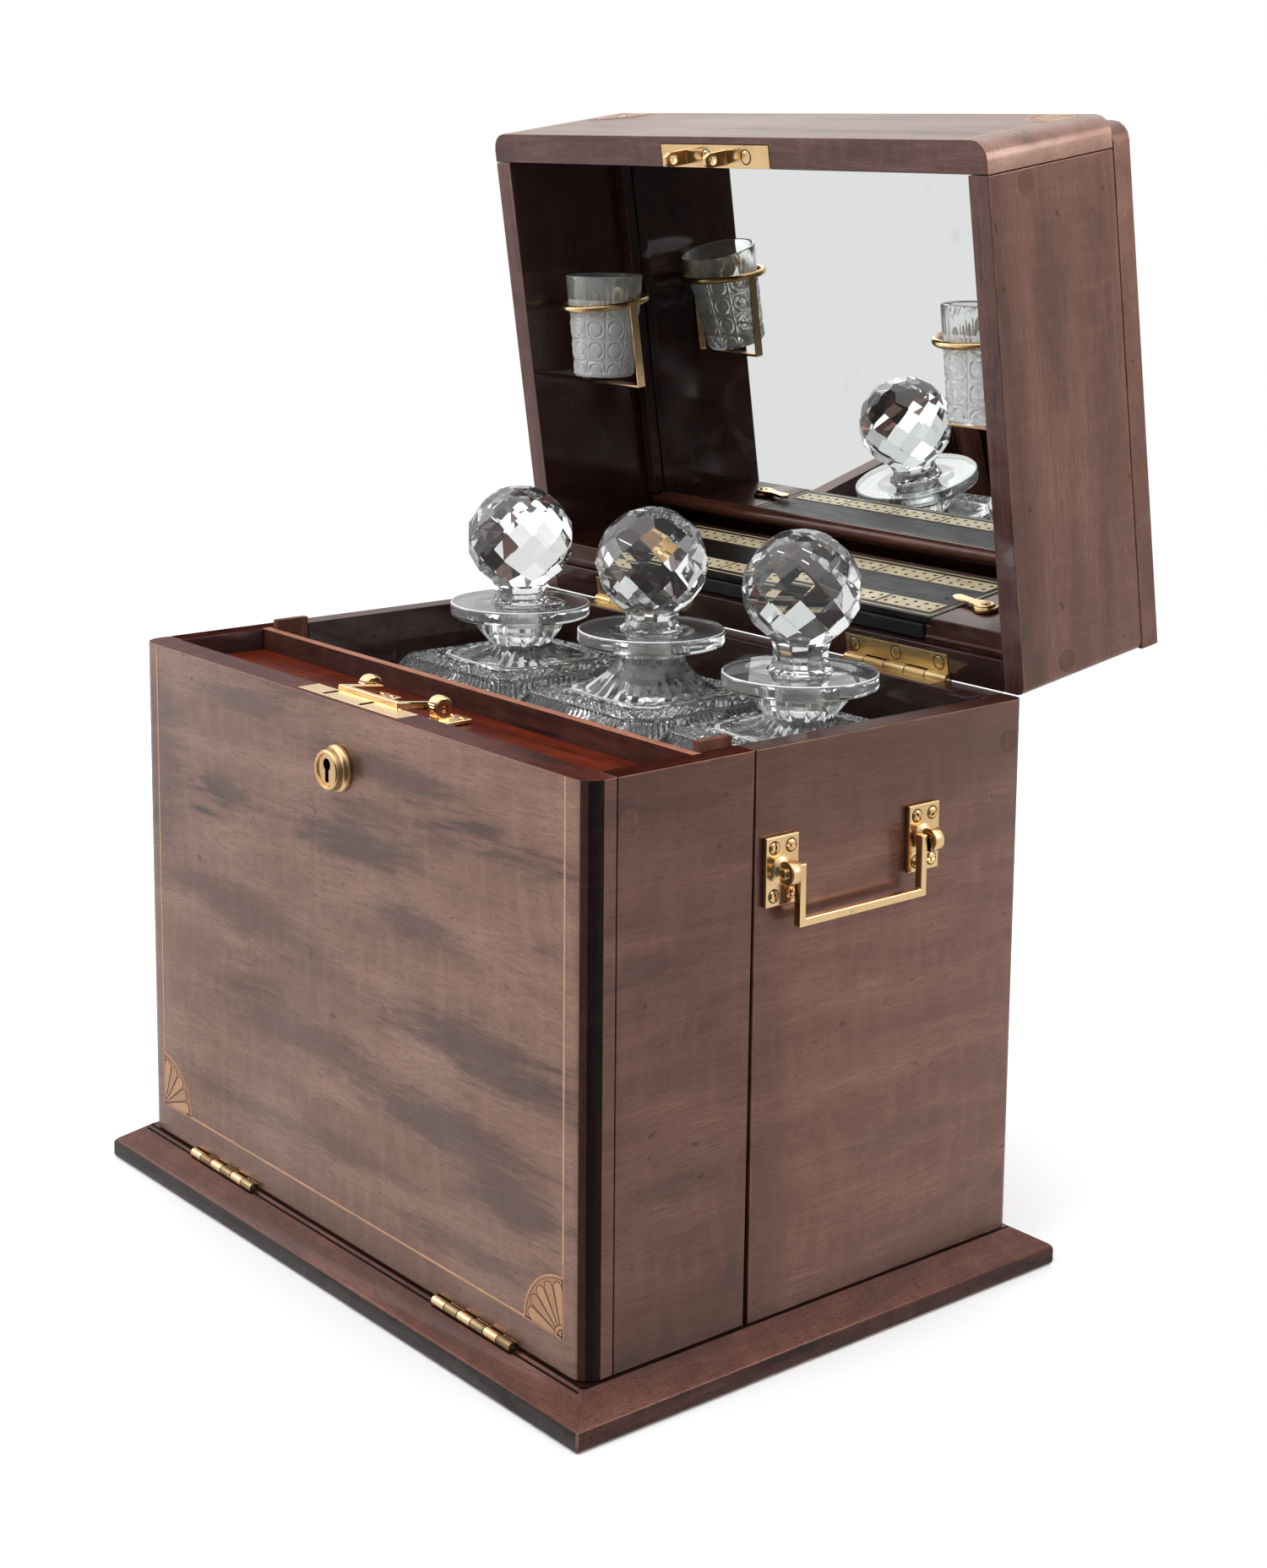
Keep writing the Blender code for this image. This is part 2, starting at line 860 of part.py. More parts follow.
BAIL_X, BAIL_D, BAIL_H = -0.0010, 0.0335, -0.0020
for side, s in (("left", -1), ("right", 1)):
    x = BAIL_X + s * 0.0258
    plate = place(
        f"drawer_plate_{side}",
        block(
            (x - 0.0062, x + 0.0062),
            (y_at(BAIL_D - 0.0118), y_at(BAIL_D + 0.0118)),
            (z_at(DRAWER_TOP + GAP), z_at(DRAWER_TOP + 0.0022)),
        ),
        "brass",
        parent=drawer,
    )
    join(
        plate,
        block(
            (x - 0.0030, x + 0.0030),
            (y_at(BAIL_D - 0.0026), y_at(BAIL_D + 0.0026)),
            (z_at(DRAWER_TOP + 0.0010), z_at(BAIL_H - 0.0025)),
        ),
        rod("X", (x, y_at(BAIL_D), z_at(BAIL_H)), 0.0050, 0.0062, 16),
    )
    cut(plate, rod("X", (x, y_at(BAIL_D), z_at(BAIL_H)), 0.0018, 0.0100, 12))

tilt = math.atan2(0.0023, 0.0173)
arm = 0.0173 / math.cos(tilt)
wire = 0.0030
outer = 0.0222
bail_mesh = prism(
    [
        (-outer, 0.0024),
        (-outer, -arm - wire / 2),
        (outer, -arm - wire / 2),
        (outer, 0.0024),
        (outer - wire, 0.0024),
        (outer - wire, -arm + wire / 2),
        (-outer + wire, -arm + wire / 2),
        (-outer + wire, 0.0024),
    ],
    "XY",
    -wire / 2,
    wire / 2,
)
bail_mesh.transform(
    Matrix.Translation((BAIL_X, y_at(BAIL_D), z_at(BAIL_H))) @ Matrix.Rotation(-tilt, 4, "X")
)
drawer_bail = place(
    "drawer_bail",
    bail_mesh,
    "brass",
    parent=drawer,
    origin=(BAIL_X, y_at(BAIL_D), z_at(BAIL_H)),
)
join(
    drawer_bail,
    *[
        rod(
            "X",
            (BAIL_X + s * 0.0250, y_at(BAIL_D), z_at(BAIL_H)),
            0.00125,
            0.0080,
            10,
        )
        for s in (-1, 1)
    ],
)

# ---------------------------------------------------------------- lid
lid_front = place(
    "lid_front",
    prism(
        front_plan(HALF, 0, FRONT_T, CORNER_R),
        "XY",
        z_at(GAP),
        z_at(LID_H - LID_TOP_T - GAP),
    ),
    "mahogany",
    parent=lid,
)
cut(
    lid_front,
    block((-0.0367, 0.0367), (y_at(0.0034), y_at(0.0160)), (z_at(-0.002), z_at(0.0023))),
)
for side, s in (("left", -1), ("right", 1)):
    place(
        f"lid_{side}",
        prism(
            side_plan(s, FRONT_T + GAP, BODY_D, BACK_R),
            "XY",
            z_at(GAP),
            z_at(LID_H - LID_TOP_T - GAP),
        ),
        "mahogany",
        parent=lid,
    )
lid_back = place(
    "lid_back",
    block(
        (-IN_X + GAP, IN_X - GAP),
        (y_at(BODY_D - FRONT_T), y_at(BODY_D)),
        (z_at(GAP), z_at(LID_H - LID_TOP_T - GAP)),
    ),
    "mahogany",
    parent=lid,
)
for s in (-1, 1):
    x = s * HINGE_LID_X
    cut(
        lid_back,
        block(
            (x - LID_HALF - GAP, x + LID_HALF + GAP),
            (y_at(0.2219), y_at(BODY_D + 0.004)),
            (z_at(-0.003), z_at(0.0019)),
        ),
        rod("X", (x, y_at(BODY_D), Z_HINGE), 0.0029, HINGE_LID_LEN + 2 * GAP),
    )
place(
    "lid_top",
    prism(
        front_plan(HALF, LID_TOP_SET, BODY_D, CORNER_R),
        "XY",
        z_at(LID_H - LID_TOP_T),
        z_at(LID_H),
    ),
    "mahogany",
    parent=lid,
)

MIRROR_FACE = 0.0718
place(
    "mirror",
    block(
        (-IN_X + 0.0012, IN_X - 0.0012),
        (y_at(FRONT_T + 0.0008), y_at(BODY_D - FRONT_T - 0.0008)),
        (z_at(MIRROR_FACE), z_at(LID_H - LID_TOP_T - 2 * GAP)),
    ),
    "mirror_glass",
    parent=lid,
)
bead_in = IN_X - 0.0062
place(
    "mirror_bead",
    prism(
        [
            (-IN_X + GAP, y_at(0.1968)),
            (-IN_X + GAP, y_at(FRONT_T + 2 * GAP)),
            (IN_X - GAP, y_at(FRONT_T + 2 * GAP)),
            (IN_X - GAP, y_at(0.1968)),
            (bead_in, y_at(0.1968)),
            (bead_in, y_at(FRONT_T + 0.0062)),
            (-bead_in, y_at(FRONT_T + 0.0062)),
            (-bead_in, y_at(0.1968)),
        ],
        "XY",
        z_at(MIRROR_FACE - 0.0062),
        z_at(MIRROR_FACE - GAP),
    ),
    "mahogany_dark",
    parent=lid,
)
place(
    "mirror_moulding",
    prism(
        [
            (y, z)
            for y, z in arc(y_at(0.2010), z_at(MIRROR_FACE - GAP), 0.0039, 180, 360, 10)
        ],
        "YZ",
        -IN_X + GAP,
        IN_X - GAP,
    ),
    "mahogany_red",
    parent=lid,
)

strike = place(
    "strike_plate",
    block((-0.0364, 0.0364), (y_at(0.0037), y_at(0.0140)), (z_at(GAP), z_at(0.0019))),
    "brass",
    parent=lid,
)
for x in STAPLES_X:
    join(
        strike,
        prism(
            [
                (y_at(0.0060), z_at(0.0010)),
                (y_at(0.0060), z_at(-0.0092)),
                (y_at(0.0075), z_at(-0.0118)),
                (y_at(0.0110), z_at(-0.0118)),
                (y_at(0.0125), z_at(-0.0092)),
                (y_at(0.0125), z_at(0.0010)),
            ],
            "YZ",
            x - 0.0012,
            x + 0.0012,
        ),
    )
cut(
    strike,
    *[rod("X", (x, y_at(0.00925), z_at(-0.0075)), 0.0022, 0.0080, 12) for x in STAPLES_X],
)

# games board with its fixed ends, turn latches, and the slim case that lives under it
BOARD_TOP = 0.2080
LID_IN_BACK = BODY_D - FRONT_T
BEARER_IN, BEARER_LEDGE = 0.1100, 0.1068
bearer_front, bearer_back = 0.0030, 0.0640
bearer = place(
    "games_bearer",
    prism(
        [
            (-IN_X + GAP, z_at(bearer_front)),
            (-BEARER_LEDGE, z_at(bearer_front)),
            (-BEARER_LEDGE, z_at(0.0612)),
            (BEARER_LEDGE, z_at(0.0612)),
            (BEARER_LEDGE, z_at(bearer_front)),
            (IN_X - GAP, z_at(bearer_front)),
            (IN_X - GAP, z_at(bearer_back)),
            (-IN_X + GAP, z_at(bearer_back)),
        ],
        "XZ",
        y_at(BOARD_TOP),
        y_at(LID_IN_BACK - GAP),
    ),
    "mahogany",
    parent=lid,
)
cut(
    bearer,
    block(
        (-BEARER_IN - GAP, BEARER_IN + GAP),
        (y_at(BOARD_TOP - 0.004), y_at(BOARD_TOP + 0.0034)),
        (z_at(-0.001), z_at(0.0616)),
    ),
)
for s in (-1, 1):
    join(
        bearer,
        block(
            sorted((s * BEARER_LEDGE, s * (IN_X - GAP))),
            (y_at(0.2162), y_at(LID_IN_BACK - GAP)),
            (z_at(0.0022), z_at(0.0050)),
        ),
    )
place(
    "games_board",
    block(
        (-BEARER_IN, BEARER_IN),
        (y_at(BOARD_TOP), y_at(BOARD_TOP + 0.0030)),
        (z_at(0.0034), z_at(0.0612)),
    ),
    "ebonised",
    parent=lid,
)
place(
    "slim_case",
    block(
        (-BEARER_LEDGE + 0.0014, BEARER_LEDGE - 0.0014),
        (y_at(BOARD_TOP + 0.0037), y_at(LID_IN_BACK - 0.0006)),
        (z_at(0.0032), z_at(0.0606)),
    ),
    "leathercloth",
    parent=lid,
)

LATCH_X, LATCH_H = 0.1245, 0.0235
for side, s in (("left", -1), ("right", 1)):
    pivot = (s * LATCH_X, z_at(LATCH_H))
    lean = math.radians(9)
    reach = 0.0225

    def swing(u, v):
        """A point of the lever, u along it and v across, turned to its resting angle."""
        x = -u * math.cos(lean) - v * math.sin(lean)
        z = u * math.sin(lean) - v * math.cos(lean)
        return (pivot[0] + s * x, pivot[1] + z)

    outline = [swing(u, v) for u, v in arc(0, 0, 0.0042, 90, 270, 6)]
    outline += [swing(0.0100, -0.0022), swing(0.0170, -0.0026)]
    outline += [
        swing(u, v) for u, v in arc(reach - 0.0028, 0, 0.0028, -90, 90, 5)
    ]
    outline += [swing(0.0170, 0.0026), swing(0.0100, 0.0022)]
    latch = place(
        f"turn_latch_{side}",
        prism(outline, "XZ", y_at(0.2046), y_at(0.2064)),
        "brass",
        parent=lid,
        origin=(pivot[0], y_at(0.2060), pivot[1]),
    )
    join(
        latch,
        rod("Y", (pivot[0], y_at(0.2068), pivot[1]), 0.0056, 0.0018, 16),
    )

# ---------------------------------------------------------------- tumblers and their holders
for k, (side, s) in enumerate((("left", -1), ("right", 1))):
    d, h = TUMBLER_D[k], TUMBLER_RING_H[k]
    x = s * TUMBLER_X
    ring_r, wire_r = 0.0211, 0.0018
    strap_x = TUMBLER_X - ring_r - 0.0014
    strap_d = (0.1294, 0.1268)[k]
    wall = IN_X - GAP
    ring = [
        (
            ring_r + wire_r * math.cos(2 * math.pi * i / 8),
            wire_r * math.sin(2 * math.pi * i / 8),
        )
        for i in range(8)
    ]
    holder = place(
        f"tumbler_holder_{side}",
        turned(
            ring,
            24,
            Matrix.Translation((x, y_at(d), z_at(h))) @ Matrix.Rotation(math.pi / 2, 4, "X"),
            closed=True,
        ),
        "brass",
        parent=lid,
    )
    join(
        holder,
        # strap down the open side, under the glass, and back up the wall
        prism(
            [
                (s * (strap_x - 0.0006), y_at(d - 0.0012)),
                (s * (strap_x + 0.0006), y_at(d - 0.0012)),
                (s * (strap_x + 0.0006), y_at(strap_d - 0.0006)),
                (s * (wall - 0.0012), y_at(strap_d - 0.0006)),
                (s * (wall - 0.0012), y_at(d - 0.0060)),
                (s * wall, y_at(d - 0.0060)),
                (s * wall, y_at(strap_d + 0.0006)),
                (s * (strap_x - 0.0006), y_at(strap_d + 0.0006)),
            ],
            "XY",
            z_at(h - 0.0022),
            z_at(h + 0.0022),
        ),
    )

    # the tumbler hangs upright in its ring, which leans with the lid
    below = 0.0372 + (0 if k == 0 else -0.0005)
    glass_profile = [
        (0, -below),
        (0.0140, -below),
        (0.0150, -below + 0.0014),
        (0.0182, 0),
        (0.0193, TUMBLER_H - below),
        (0.0178, TUMBLER_H - below),
        (0.0166, 0),
        (0.0134, -below + 0.0070),
        (0, -below + 0.0062),
    ]
    tumbler = place(
        f"tumbler_{side}",
        turned(glass_profile[::-1], 16),
        "glass",
        origin=(0, 0, 0),
    )
    tumbler.parent = lid
    tumbler.location = Vector((x, y_at(d), z_at(h))) - ORIGINS[lid]
    tumbler.rotation_euler = (math.radians(LID_OPEN), 0, 0)

# ---------------------------------------------------------------- decanters and stoppers
ANGLES = [q * 90 + a for q in range(4) for a in (15.0, 38.4, 51.6, 75.0)]


def round_ring(radius):
    return [
        (radius * math.cos(math.radians(a)), radius * math.sin(math.radians(a)))
        for a in ANGLES
    ]


def square_ring(half, chamfer=0.206):
    """A square with its corners cut: each point lies on the ray of its angle."""
    corner = half * (2 - chamfer)
    out = []
    for a in ANGLES:
        c, s = abs(math.cos(math.radians(a))), abs(math.sin(math.radians(a)))
        r = min(half / max(c, s), corner / (c + s))
        out.append((r * math.cos(math.radians(a)), r * math.sin(math.radians(a))))
    return out


FLOOR_TOP = z_up(0.0103) + GAP
base = FLOOR_TOP - Z_RIM
BODY_RINGS = [
    ("s", DECANTER_HALF - 0.0025, base),
    ("s", DECANTER_HALF, base + 0.0025),
    ("s", DECANTER_HALF, -0.0260),
    ("s", DECANTER_HALF - 0.0020, -0.0215),
    ("s", DECANTER_HALF - 0.0110, -0.0175),
]
# the outer bottles have a drum under the flange, the middle one a waisted neck
DRUM_RINGS = [
    ("c", 0.0215, -0.0140),
    ("c", 0.0146, -0.0102),
    ("c", 0.0205, -0.0028),
    ("c", 0.0209, -0.0018),
]
WAIST_RINGS = [
    ("c", 0.0240, -0.0115),
    ("c", 0.0171, -0.0054),
    ("c", 0.0153, 0.0000),
]
HOLLOW_RINGS = [
    ("c", 0.0106, -0.0160),
    ("s", DECANTER_HALF - 0.0150, -0.0270),
    ("s", DECANTER_HALF - 0.0085, -0.0360),
    ("s", DECANTER_HALF - 0.0085, base + 0.0120),
]


def flange_rings(top, neck_r):
    return [
        ("c", neck_r, top - FLANGE_T - 0.0012),
        ("c", FLANGE_R - 0.0010, top - FLANGE_T),
        ("c", FLANGE_R, top - FLANGE_T + 0.0010),
        ("c", FLANGE_R, top - 0.0010),
        ("c", FLANGE_R - 0.0010, top),
        ("c", 0.0108, top),
    ]


def decanter_mesh(cx, rings):
    """A hollow square bottle, lofted from round and square sections, outside up and inside down."""
    bm = bmesh.new()
    loops = []
    for kind, size, h in rings:
        ring = round_ring(size) if kind == "c" else square_ring(size)
        loops.append(
            [bm.verts.new((cx + x, y_at(DECANTER_D) + y, z_at(h))) for x, y in ring]
        )
    n = len(ANGLES)
    for a, b in zip(loops, loops[1:]):
        for k in range(n):
            bm.faces.new((a[k], a[(k + 1) % n], b[(k + 1) % n], b[k]))
    bm.faces.new(loops[0][::-1])
    bm.faces.new(loops[-1])
    return smooth(from_bmesh(bm), 25)


for name, x, centre, top in zip(
    ("left", "middle", "right"), (-DECANTER_X, 0, DECANTER_X), BALL_CENTRES, FLANGE_TOPS
):
    neck_rings = WAIST_RINGS if name == "middle" else DRUM_RINGS
    neck_r = 0.0180 if name == "middle" else 0.0209
    rings = BODY_RINGS + neck_rings + flange_rings(top, neck_r) + HOLLOW_RINGS
    place(
        f"decanter_{name}",
        decanter_mesh(x, rings),
        "glass",
        origin=(x, y_at(DECANTER_D), FLOOR_TOP),
    )
    collar = top + GAP
    flat = BALL_R * 0.94
    profile = [(0, top - 0.0120), (0.0086, top - 0.0115), (0.0097, top - 0.0002)]
    # a foot that spreads on the flange, then a waist under the ball
    profile += [(0.0097, collar), (0.0146, collar), (0.0146, collar + 0.0007)]
    profile += [(0.0128, collar + 0.0028), (0.0119, collar + 0.0056)]
    profile += [(0.0126, centre - BALL_R * 0.84)]
    for i in range(9):
        a = math.radians(-56 + 15 * i)
        profile.append((BALL_R * math.cos(a), centre + BALL_R * math.sin(a)))
    profile += [(0.0090, centre + flat), (0, centre + flat)]
    place(
        f"stopper_{name}",
        turned(
            profile[::-1],
            12,
            Matrix.Translation((x, y_at(DECANTER_D), Z_RIM)),
        ),
        "glass",
        origin=(x, y_at(DECANTER_D), z_at(top)),
    )

# the open lid, and everything on it, leans back against its stop
lid.rotation_euler = (-math.radians(LID_OPEN), 0, 0)
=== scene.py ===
import json
import math
import random

import bmesh
import bpy
from mathutils import Matrix, Vector, noise

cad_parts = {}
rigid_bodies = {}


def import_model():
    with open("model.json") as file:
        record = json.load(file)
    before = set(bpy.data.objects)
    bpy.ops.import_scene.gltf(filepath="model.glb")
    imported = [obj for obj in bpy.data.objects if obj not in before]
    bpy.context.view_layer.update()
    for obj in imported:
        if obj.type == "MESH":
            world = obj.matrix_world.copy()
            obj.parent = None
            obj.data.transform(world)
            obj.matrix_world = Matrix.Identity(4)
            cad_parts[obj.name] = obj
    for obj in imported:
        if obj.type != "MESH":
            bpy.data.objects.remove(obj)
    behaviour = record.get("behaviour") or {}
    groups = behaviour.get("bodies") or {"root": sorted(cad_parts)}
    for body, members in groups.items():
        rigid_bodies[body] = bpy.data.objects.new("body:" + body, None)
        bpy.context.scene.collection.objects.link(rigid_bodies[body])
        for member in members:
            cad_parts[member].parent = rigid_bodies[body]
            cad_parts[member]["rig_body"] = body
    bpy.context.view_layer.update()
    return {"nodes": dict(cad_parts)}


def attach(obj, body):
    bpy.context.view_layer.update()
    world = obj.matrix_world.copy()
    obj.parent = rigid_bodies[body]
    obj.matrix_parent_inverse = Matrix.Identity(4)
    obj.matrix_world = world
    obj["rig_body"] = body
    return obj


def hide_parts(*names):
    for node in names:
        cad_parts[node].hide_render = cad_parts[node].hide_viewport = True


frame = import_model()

nodes = frame["nodes"]

# ---------------------------------------------------------------- sizes, as in the CAD model
W, D, H = 0.3300, 0.2334, 0.2343
HALF, IN_X = 0.1650, 0.1540
Y0 = -(0.0138 + D + 0.0157) / 2 + 0.0138
ZB = 0.0168
ZR = ZB + H
YB = Y0 + D
G = 0.0003
PIVOT = Vector((0, YB, ZR + G / 2))
LID_OPEN = math.radians(81.67)
M_LID = Matrix.Translation(PIVOT) @ Matrix.Rotation(-LID_OPEN, 4, "X") @ Matrix.Translation(-PIVOT)
ONE = Matrix.Identity(4)


def ya(d):
    return Y0 + d


def za(h):
    return ZR + h


# ---------------------------------------------------------------- shader helpers
class Tree:
    """A short way to write a node tree."""

    def __init__(self, tree):
        self.t = tree

    def node(self, kind, **props):
        n = self.t.nodes.new(kind)
        for k, v in props.items():
            if hasattr(n, k):
                setattr(n, k, v)
            else:
                n.inputs[k.replace("_", " ")].default_value = v
        return n

    def link(self, a, b):
        self.t.links.new(a, b)

    def feed(self, socket, value):
        if isinstance(value, bpy.types.NodeSocket):
            self.link(value, socket)
        elif value is not None:
            socket.default_value = value

    def math(self, op, a, b=None, c=None, clamp=False):
        n = self.t.nodes.new("ShaderNodeMath")
        n.operation = op
        n.use_clamp = clamp
        for s, v in zip(n.inputs, (a, b, c)):
            self.feed(s, v)
        return n.outputs[0]

    def ramp(self, value, lo, hi, to_lo=0.0, to_hi=1.0, smooth=True):
        n = self.t.nodes.new("ShaderNodeMapRange")
        n.interpolation_type = "SMOOTHSTEP" if smooth else "LINEAR"
        self.feed(n.inputs["Value"], value)
        n.inputs["From Min"].default_value = lo
        n.inputs["From Max"].default_value = hi
        n.inputs["To Min"].default_value = to_lo
        n.inputs["To Max"].default_value = to_hi
        return n.outputs[0]

    def mix(self, factor, a, b, kind="MIX"):
        n = self.t.nodes.new("ShaderNodeMix")
        n.data_type = "RGBA"
        n.blend_type = kind
        n.clamp_factor = True
        self.feed(n.inputs[0], factor)
        for s, v in ((n.inputs[6], a), (n.inputs[7], b)):
            if isinstance(v, tuple) and len(v) == 3:
                v = (*v, 1)
            self.feed(s, v)
        return n.outputs[2]

    def noise(self, vector, scale, detail=2.0, rough=0.5, distortion=0.0):
        n = self.t.nodes.new("ShaderNodeTexNoise")
        self.feed(n.inputs["Vector"], vector)
        n.inputs["Scale"].default_value = scale
        n.inputs["Detail"].default_value = detail
        n.inputs["Roughness"].default_value = rough
        n.inputs["Distortion"].default_value = distortion
        return n.outputs[0]

    def scaled(self, vector, scale=(1, 1, 1), offset=(0, 0, 0), rotation=(0, 0, 0)):
        n = self.t.nodes.new("ShaderNodeMapping")
        self.feed(n.inputs["Vector"], vector)
        n.inputs["Scale"].default_value = scale
        n.inputs["Location"].default_value = offset
        n.inputs["Rotation"].default_value = rotation
        return n.outputs[0]

    def bump(self, height, strength, distance, normal=None):
        n = self.t.nodes.new("ShaderNodeBump")
        n.inputs["Strength"].default_value = strength
        n.inputs["Distance"].default_value = distance
        self.feed(n.inputs["Height"], height)
        if normal is not None:
            self.link(normal, n.inputs["Normal"])
        return n.outputs[0]


def blank(name, **values):
    m = bpy.data.materials.new(name)
    m.use_nodes = True
    t = Tree(m.node_tree)
    bsdf = m.node_tree.nodes["Principled BSDF"]
    for k, v in values.items():
        k = k.replace("_", " ")
        if isinstance(v, tuple) and len(v) == 3:
            v = (*v, 1)
        bsdf.inputs[k].default_value = v
    return m, t, bsdf


AXES = {"X": (0, 1, 2), "Y": (1, 2, 0), "Z": (2, 0, 1)}


def wood(
    name,
    dark,
    mid,
    light,
    streak,
    streak_amount=0.6,
    grain="X",
    tilt=0.0,
    seed=0.0,
    figure=1.0,
    rough=0.36,
    coat=0.4,
    coat_rough=0.12,
    pores=1.0,
    edges=None,
    edge_tint=(0.30, 0.14, 0.085),
    edge_amount=0.6,
    fibre_gloss=0.72,
    specular=0.12,
    tone=1.0,
    patches=(),
    shades=(),
    marks=0.0,
):
    """Polished mahogany: dark streaks broken up along the fibres, fibre lines and short pores along one axis.

    The fibres under the polish throw back a tinted sheen, so part of the colour is given as metallic.
    patches are dark streaks at known places and shades holds painted shade, soft darker zones where the case lies in
    shade or its polish mirrors a dark part of the room: (centre, radii, amount), in the piece's coordinates, with
    radius 0 along an axis that doesn't count. marks adds sparse dents and ink spots.
    edges is the (low, high) box of the board in its own coordinates: arrises inside 1 mm of it are rubbed lighter.
    """
    m, t, bsdf = blank(
        name,
        Coat_Weight=coat,
        Coat_Roughness=coat_rough,
        Coat_IOR=1.5,
        Metallic=fibre_gloss,
        Specular_IOR_Level=specular,
    )
    dark, mid, light, streak = (tuple(c * tone for c in col) for col in (dark, mid, light, streak))
    co = t.node("ShaderNodeTexCoord").outputs["Object"]
    sep = t.node("ShaderNodeSeparateXYZ")
    t.link(co, sep.inputs[0])
    comb = t.node("ShaderNodeCombineXYZ")
    for i, k in enumerate(AXES[grain]):
        t.link(sep.outputs[k], comb.inputs[i])
    p = t.scaled(comb.outputs[0], offset=(seed, seed * 0.7, seed * 1.3), rotation=(0, 0, tilt))
    if tilt:
        p = t.scaled(p, rotation=(0, tilt, 0))
    wander = t.noise(t.scaled(p, (5, 22, 22)), 1.0, 2.0)
    bend = t.node("ShaderNodeCombineXYZ")
    off = t.math("MULTIPLY", t.math("SUBTRACT", wander, 0.5), 0.010)
    t.link(off, bend.inputs[1])
    t.link(off, bend.inputs[2])
    add = t.node("ShaderNodeVectorMath", operation="ADD")
    t.link(p, add.inputs[0])
    t.link(bend.outputs[0], add.inputs[1])
    q = add.outputs[0]
    broad = t.noise(t.scaled(q, (9 * figure, 52 * figure, 52 * figure)), 1.0, 4.0, 0.55, 0.3)
    cloud = t.noise(t.scaled(q, (4.0, 13, 13)), 1.0, 2.0, 0.5, 0.2)
    lines = t.noise(t.scaled(q, (22, 420, 420)), 1.0, 3.0, 0.62)
    hair = t.noise(t.scaled(q, (60, 1500, 1500)), 1.0, 3.0, 0.62)
    fibre = t.noise(t.scaled(q, (150, 3600, 3600)), 1.0, 2.0, 0.6)
    pore = t.noise(t.scaled(q, (330, 4200, 4200), offset=(3.1, 1.7, 0.4)), 1.0, 1.0, 0.4)
    ripple = t.noise(t.scaled(q, (150, 40, 40)), 1.0, 2.0, 0.5)

    ragged = t.math(
        "ADD",
        t.math("MULTIPLY", t.math("SUBTRACT", lines, 0.5), 0.42),
        t.math("MULTIPLY", t.math("SUBTRACT", hair, 0.5), 0.22),
    )
    feathered = t.math("ADD", broad, t.math("MULTIPLY", ragged, 0.55))
    streaks = t.math("MULTIPLY", t.ramp(feathered, 0.53, 0.66), t.ramp(cloud, 0.42, 0.60))
    for centre, radii, amount in patches:
        away = blob(t, co, centre, radii)
        near = t.math("SUBTRACT", t.math("ADD", feathered, ragged), t.math("MULTIPLY", away, 0.62))
        mask = t.math("MULTIPLY", t.ramp(near, -0.10, 0.34), amount)
        streaks = t.math("MAXIMUM", streaks, mask)
    colour = t.mix(t.ramp(lines, 0.30, 0.70), mid, light)
    colour = t.mix(t.math("MULTIPLY", t.ramp(feathered, 0.28, 0.62), 0.62), colour, dark)
    colour = t.mix(t.math("MULTIPLY", t.ramp(hair, 0.38, 0.70), 0.44), colour, dark)
    colour = t.mix(t.math("MULTIPLY", t.ramp(ripple, 0.40, 0.75), 0.26), colour, light)
    colour = t.mix(t.math("MULTIPLY", streaks, streak_amount), colour, streak)
    colour = t.mix(t.math("MULTIPLY", t.ramp(fibre, 0.35, 0.75), 0.30), colour, dark)
    deep = tuple(c * 0.35 for c in dark)
    # painted shade: each zone softly darkens the colour toward a deep tone of the dark
    for centre, radii, amount in shades:
        away = t.math("ADD", blob(t, co, centre, radii), t.math("MULTIPLY", t.math("SUBTRACT", cloud, 0.5), 0.7))
        colour = t.mix(t.ramp(away, 1.15, 0.35, 0.0, amount), colour, tuple(c * 0.42 for c in dark))
    porous = t.math("MULTIPLY", t.ramp(pore, 0.60, 0.70), 0.45 * pores)
    colour = t.mix(porous, colour, deep)
    roughness = t.math("ADD", t.ramp(lines, 0.2, 0.8, -0.03, 0.05), rough)
    if marks:
        dent = t.ramp(t.noise(t.scaled(q, (130, 260, 260), offset=(0.7, 0.1, 0.9)), 1.0, 1.5, 0.4), 0.735, 0.775)
        spot = t.ramp(t.noise(t.scaled(co, (95, 95, 95), offset=(seed, 0.3, 0.2)), 1.0, 2.0, 0.5), 0.745, 0.80)
        colour = t.mix(t.math("MULTIPLY", t.math("MAXIMUM", dent, spot), marks), colour, deep)
    if edges:
        worn = worn_edges(t, co, *edges)
        colour = t.mix(t.math("MULTIPLY", worn, edge_amount), colour, edge_tint)
        roughness = t.math("ADD", roughness, t.math("MULTIPLY", worn, 0.10))
    t.link(colour, bsdf.inputs["Base Color"])
    t.link(roughness, bsdf.inputs["Roughness"])
    height = t.math("SUBTRACT", t.math("MULTIPLY", fibre, 0.35), porous)
    t.link(t.bump(height, 0.22, 0.00012), bsdf.inputs["Normal"])
    return m


def blob(t, co, centre, radii):
    """Distance from a centre in units of the radii. An axis with radius 0 doesn't count."""
    scale = tuple(1 / r if r else 0.0 for r in radii)
    moved = t.scaled(co, scale, offset=tuple(-c * k for c, k in zip(centre, scale)))
    n = t.node("ShaderNodeVectorMath", operation="LENGTH")
    t.link(moved, n.inputs[0])
    return n.outputs["Value"]


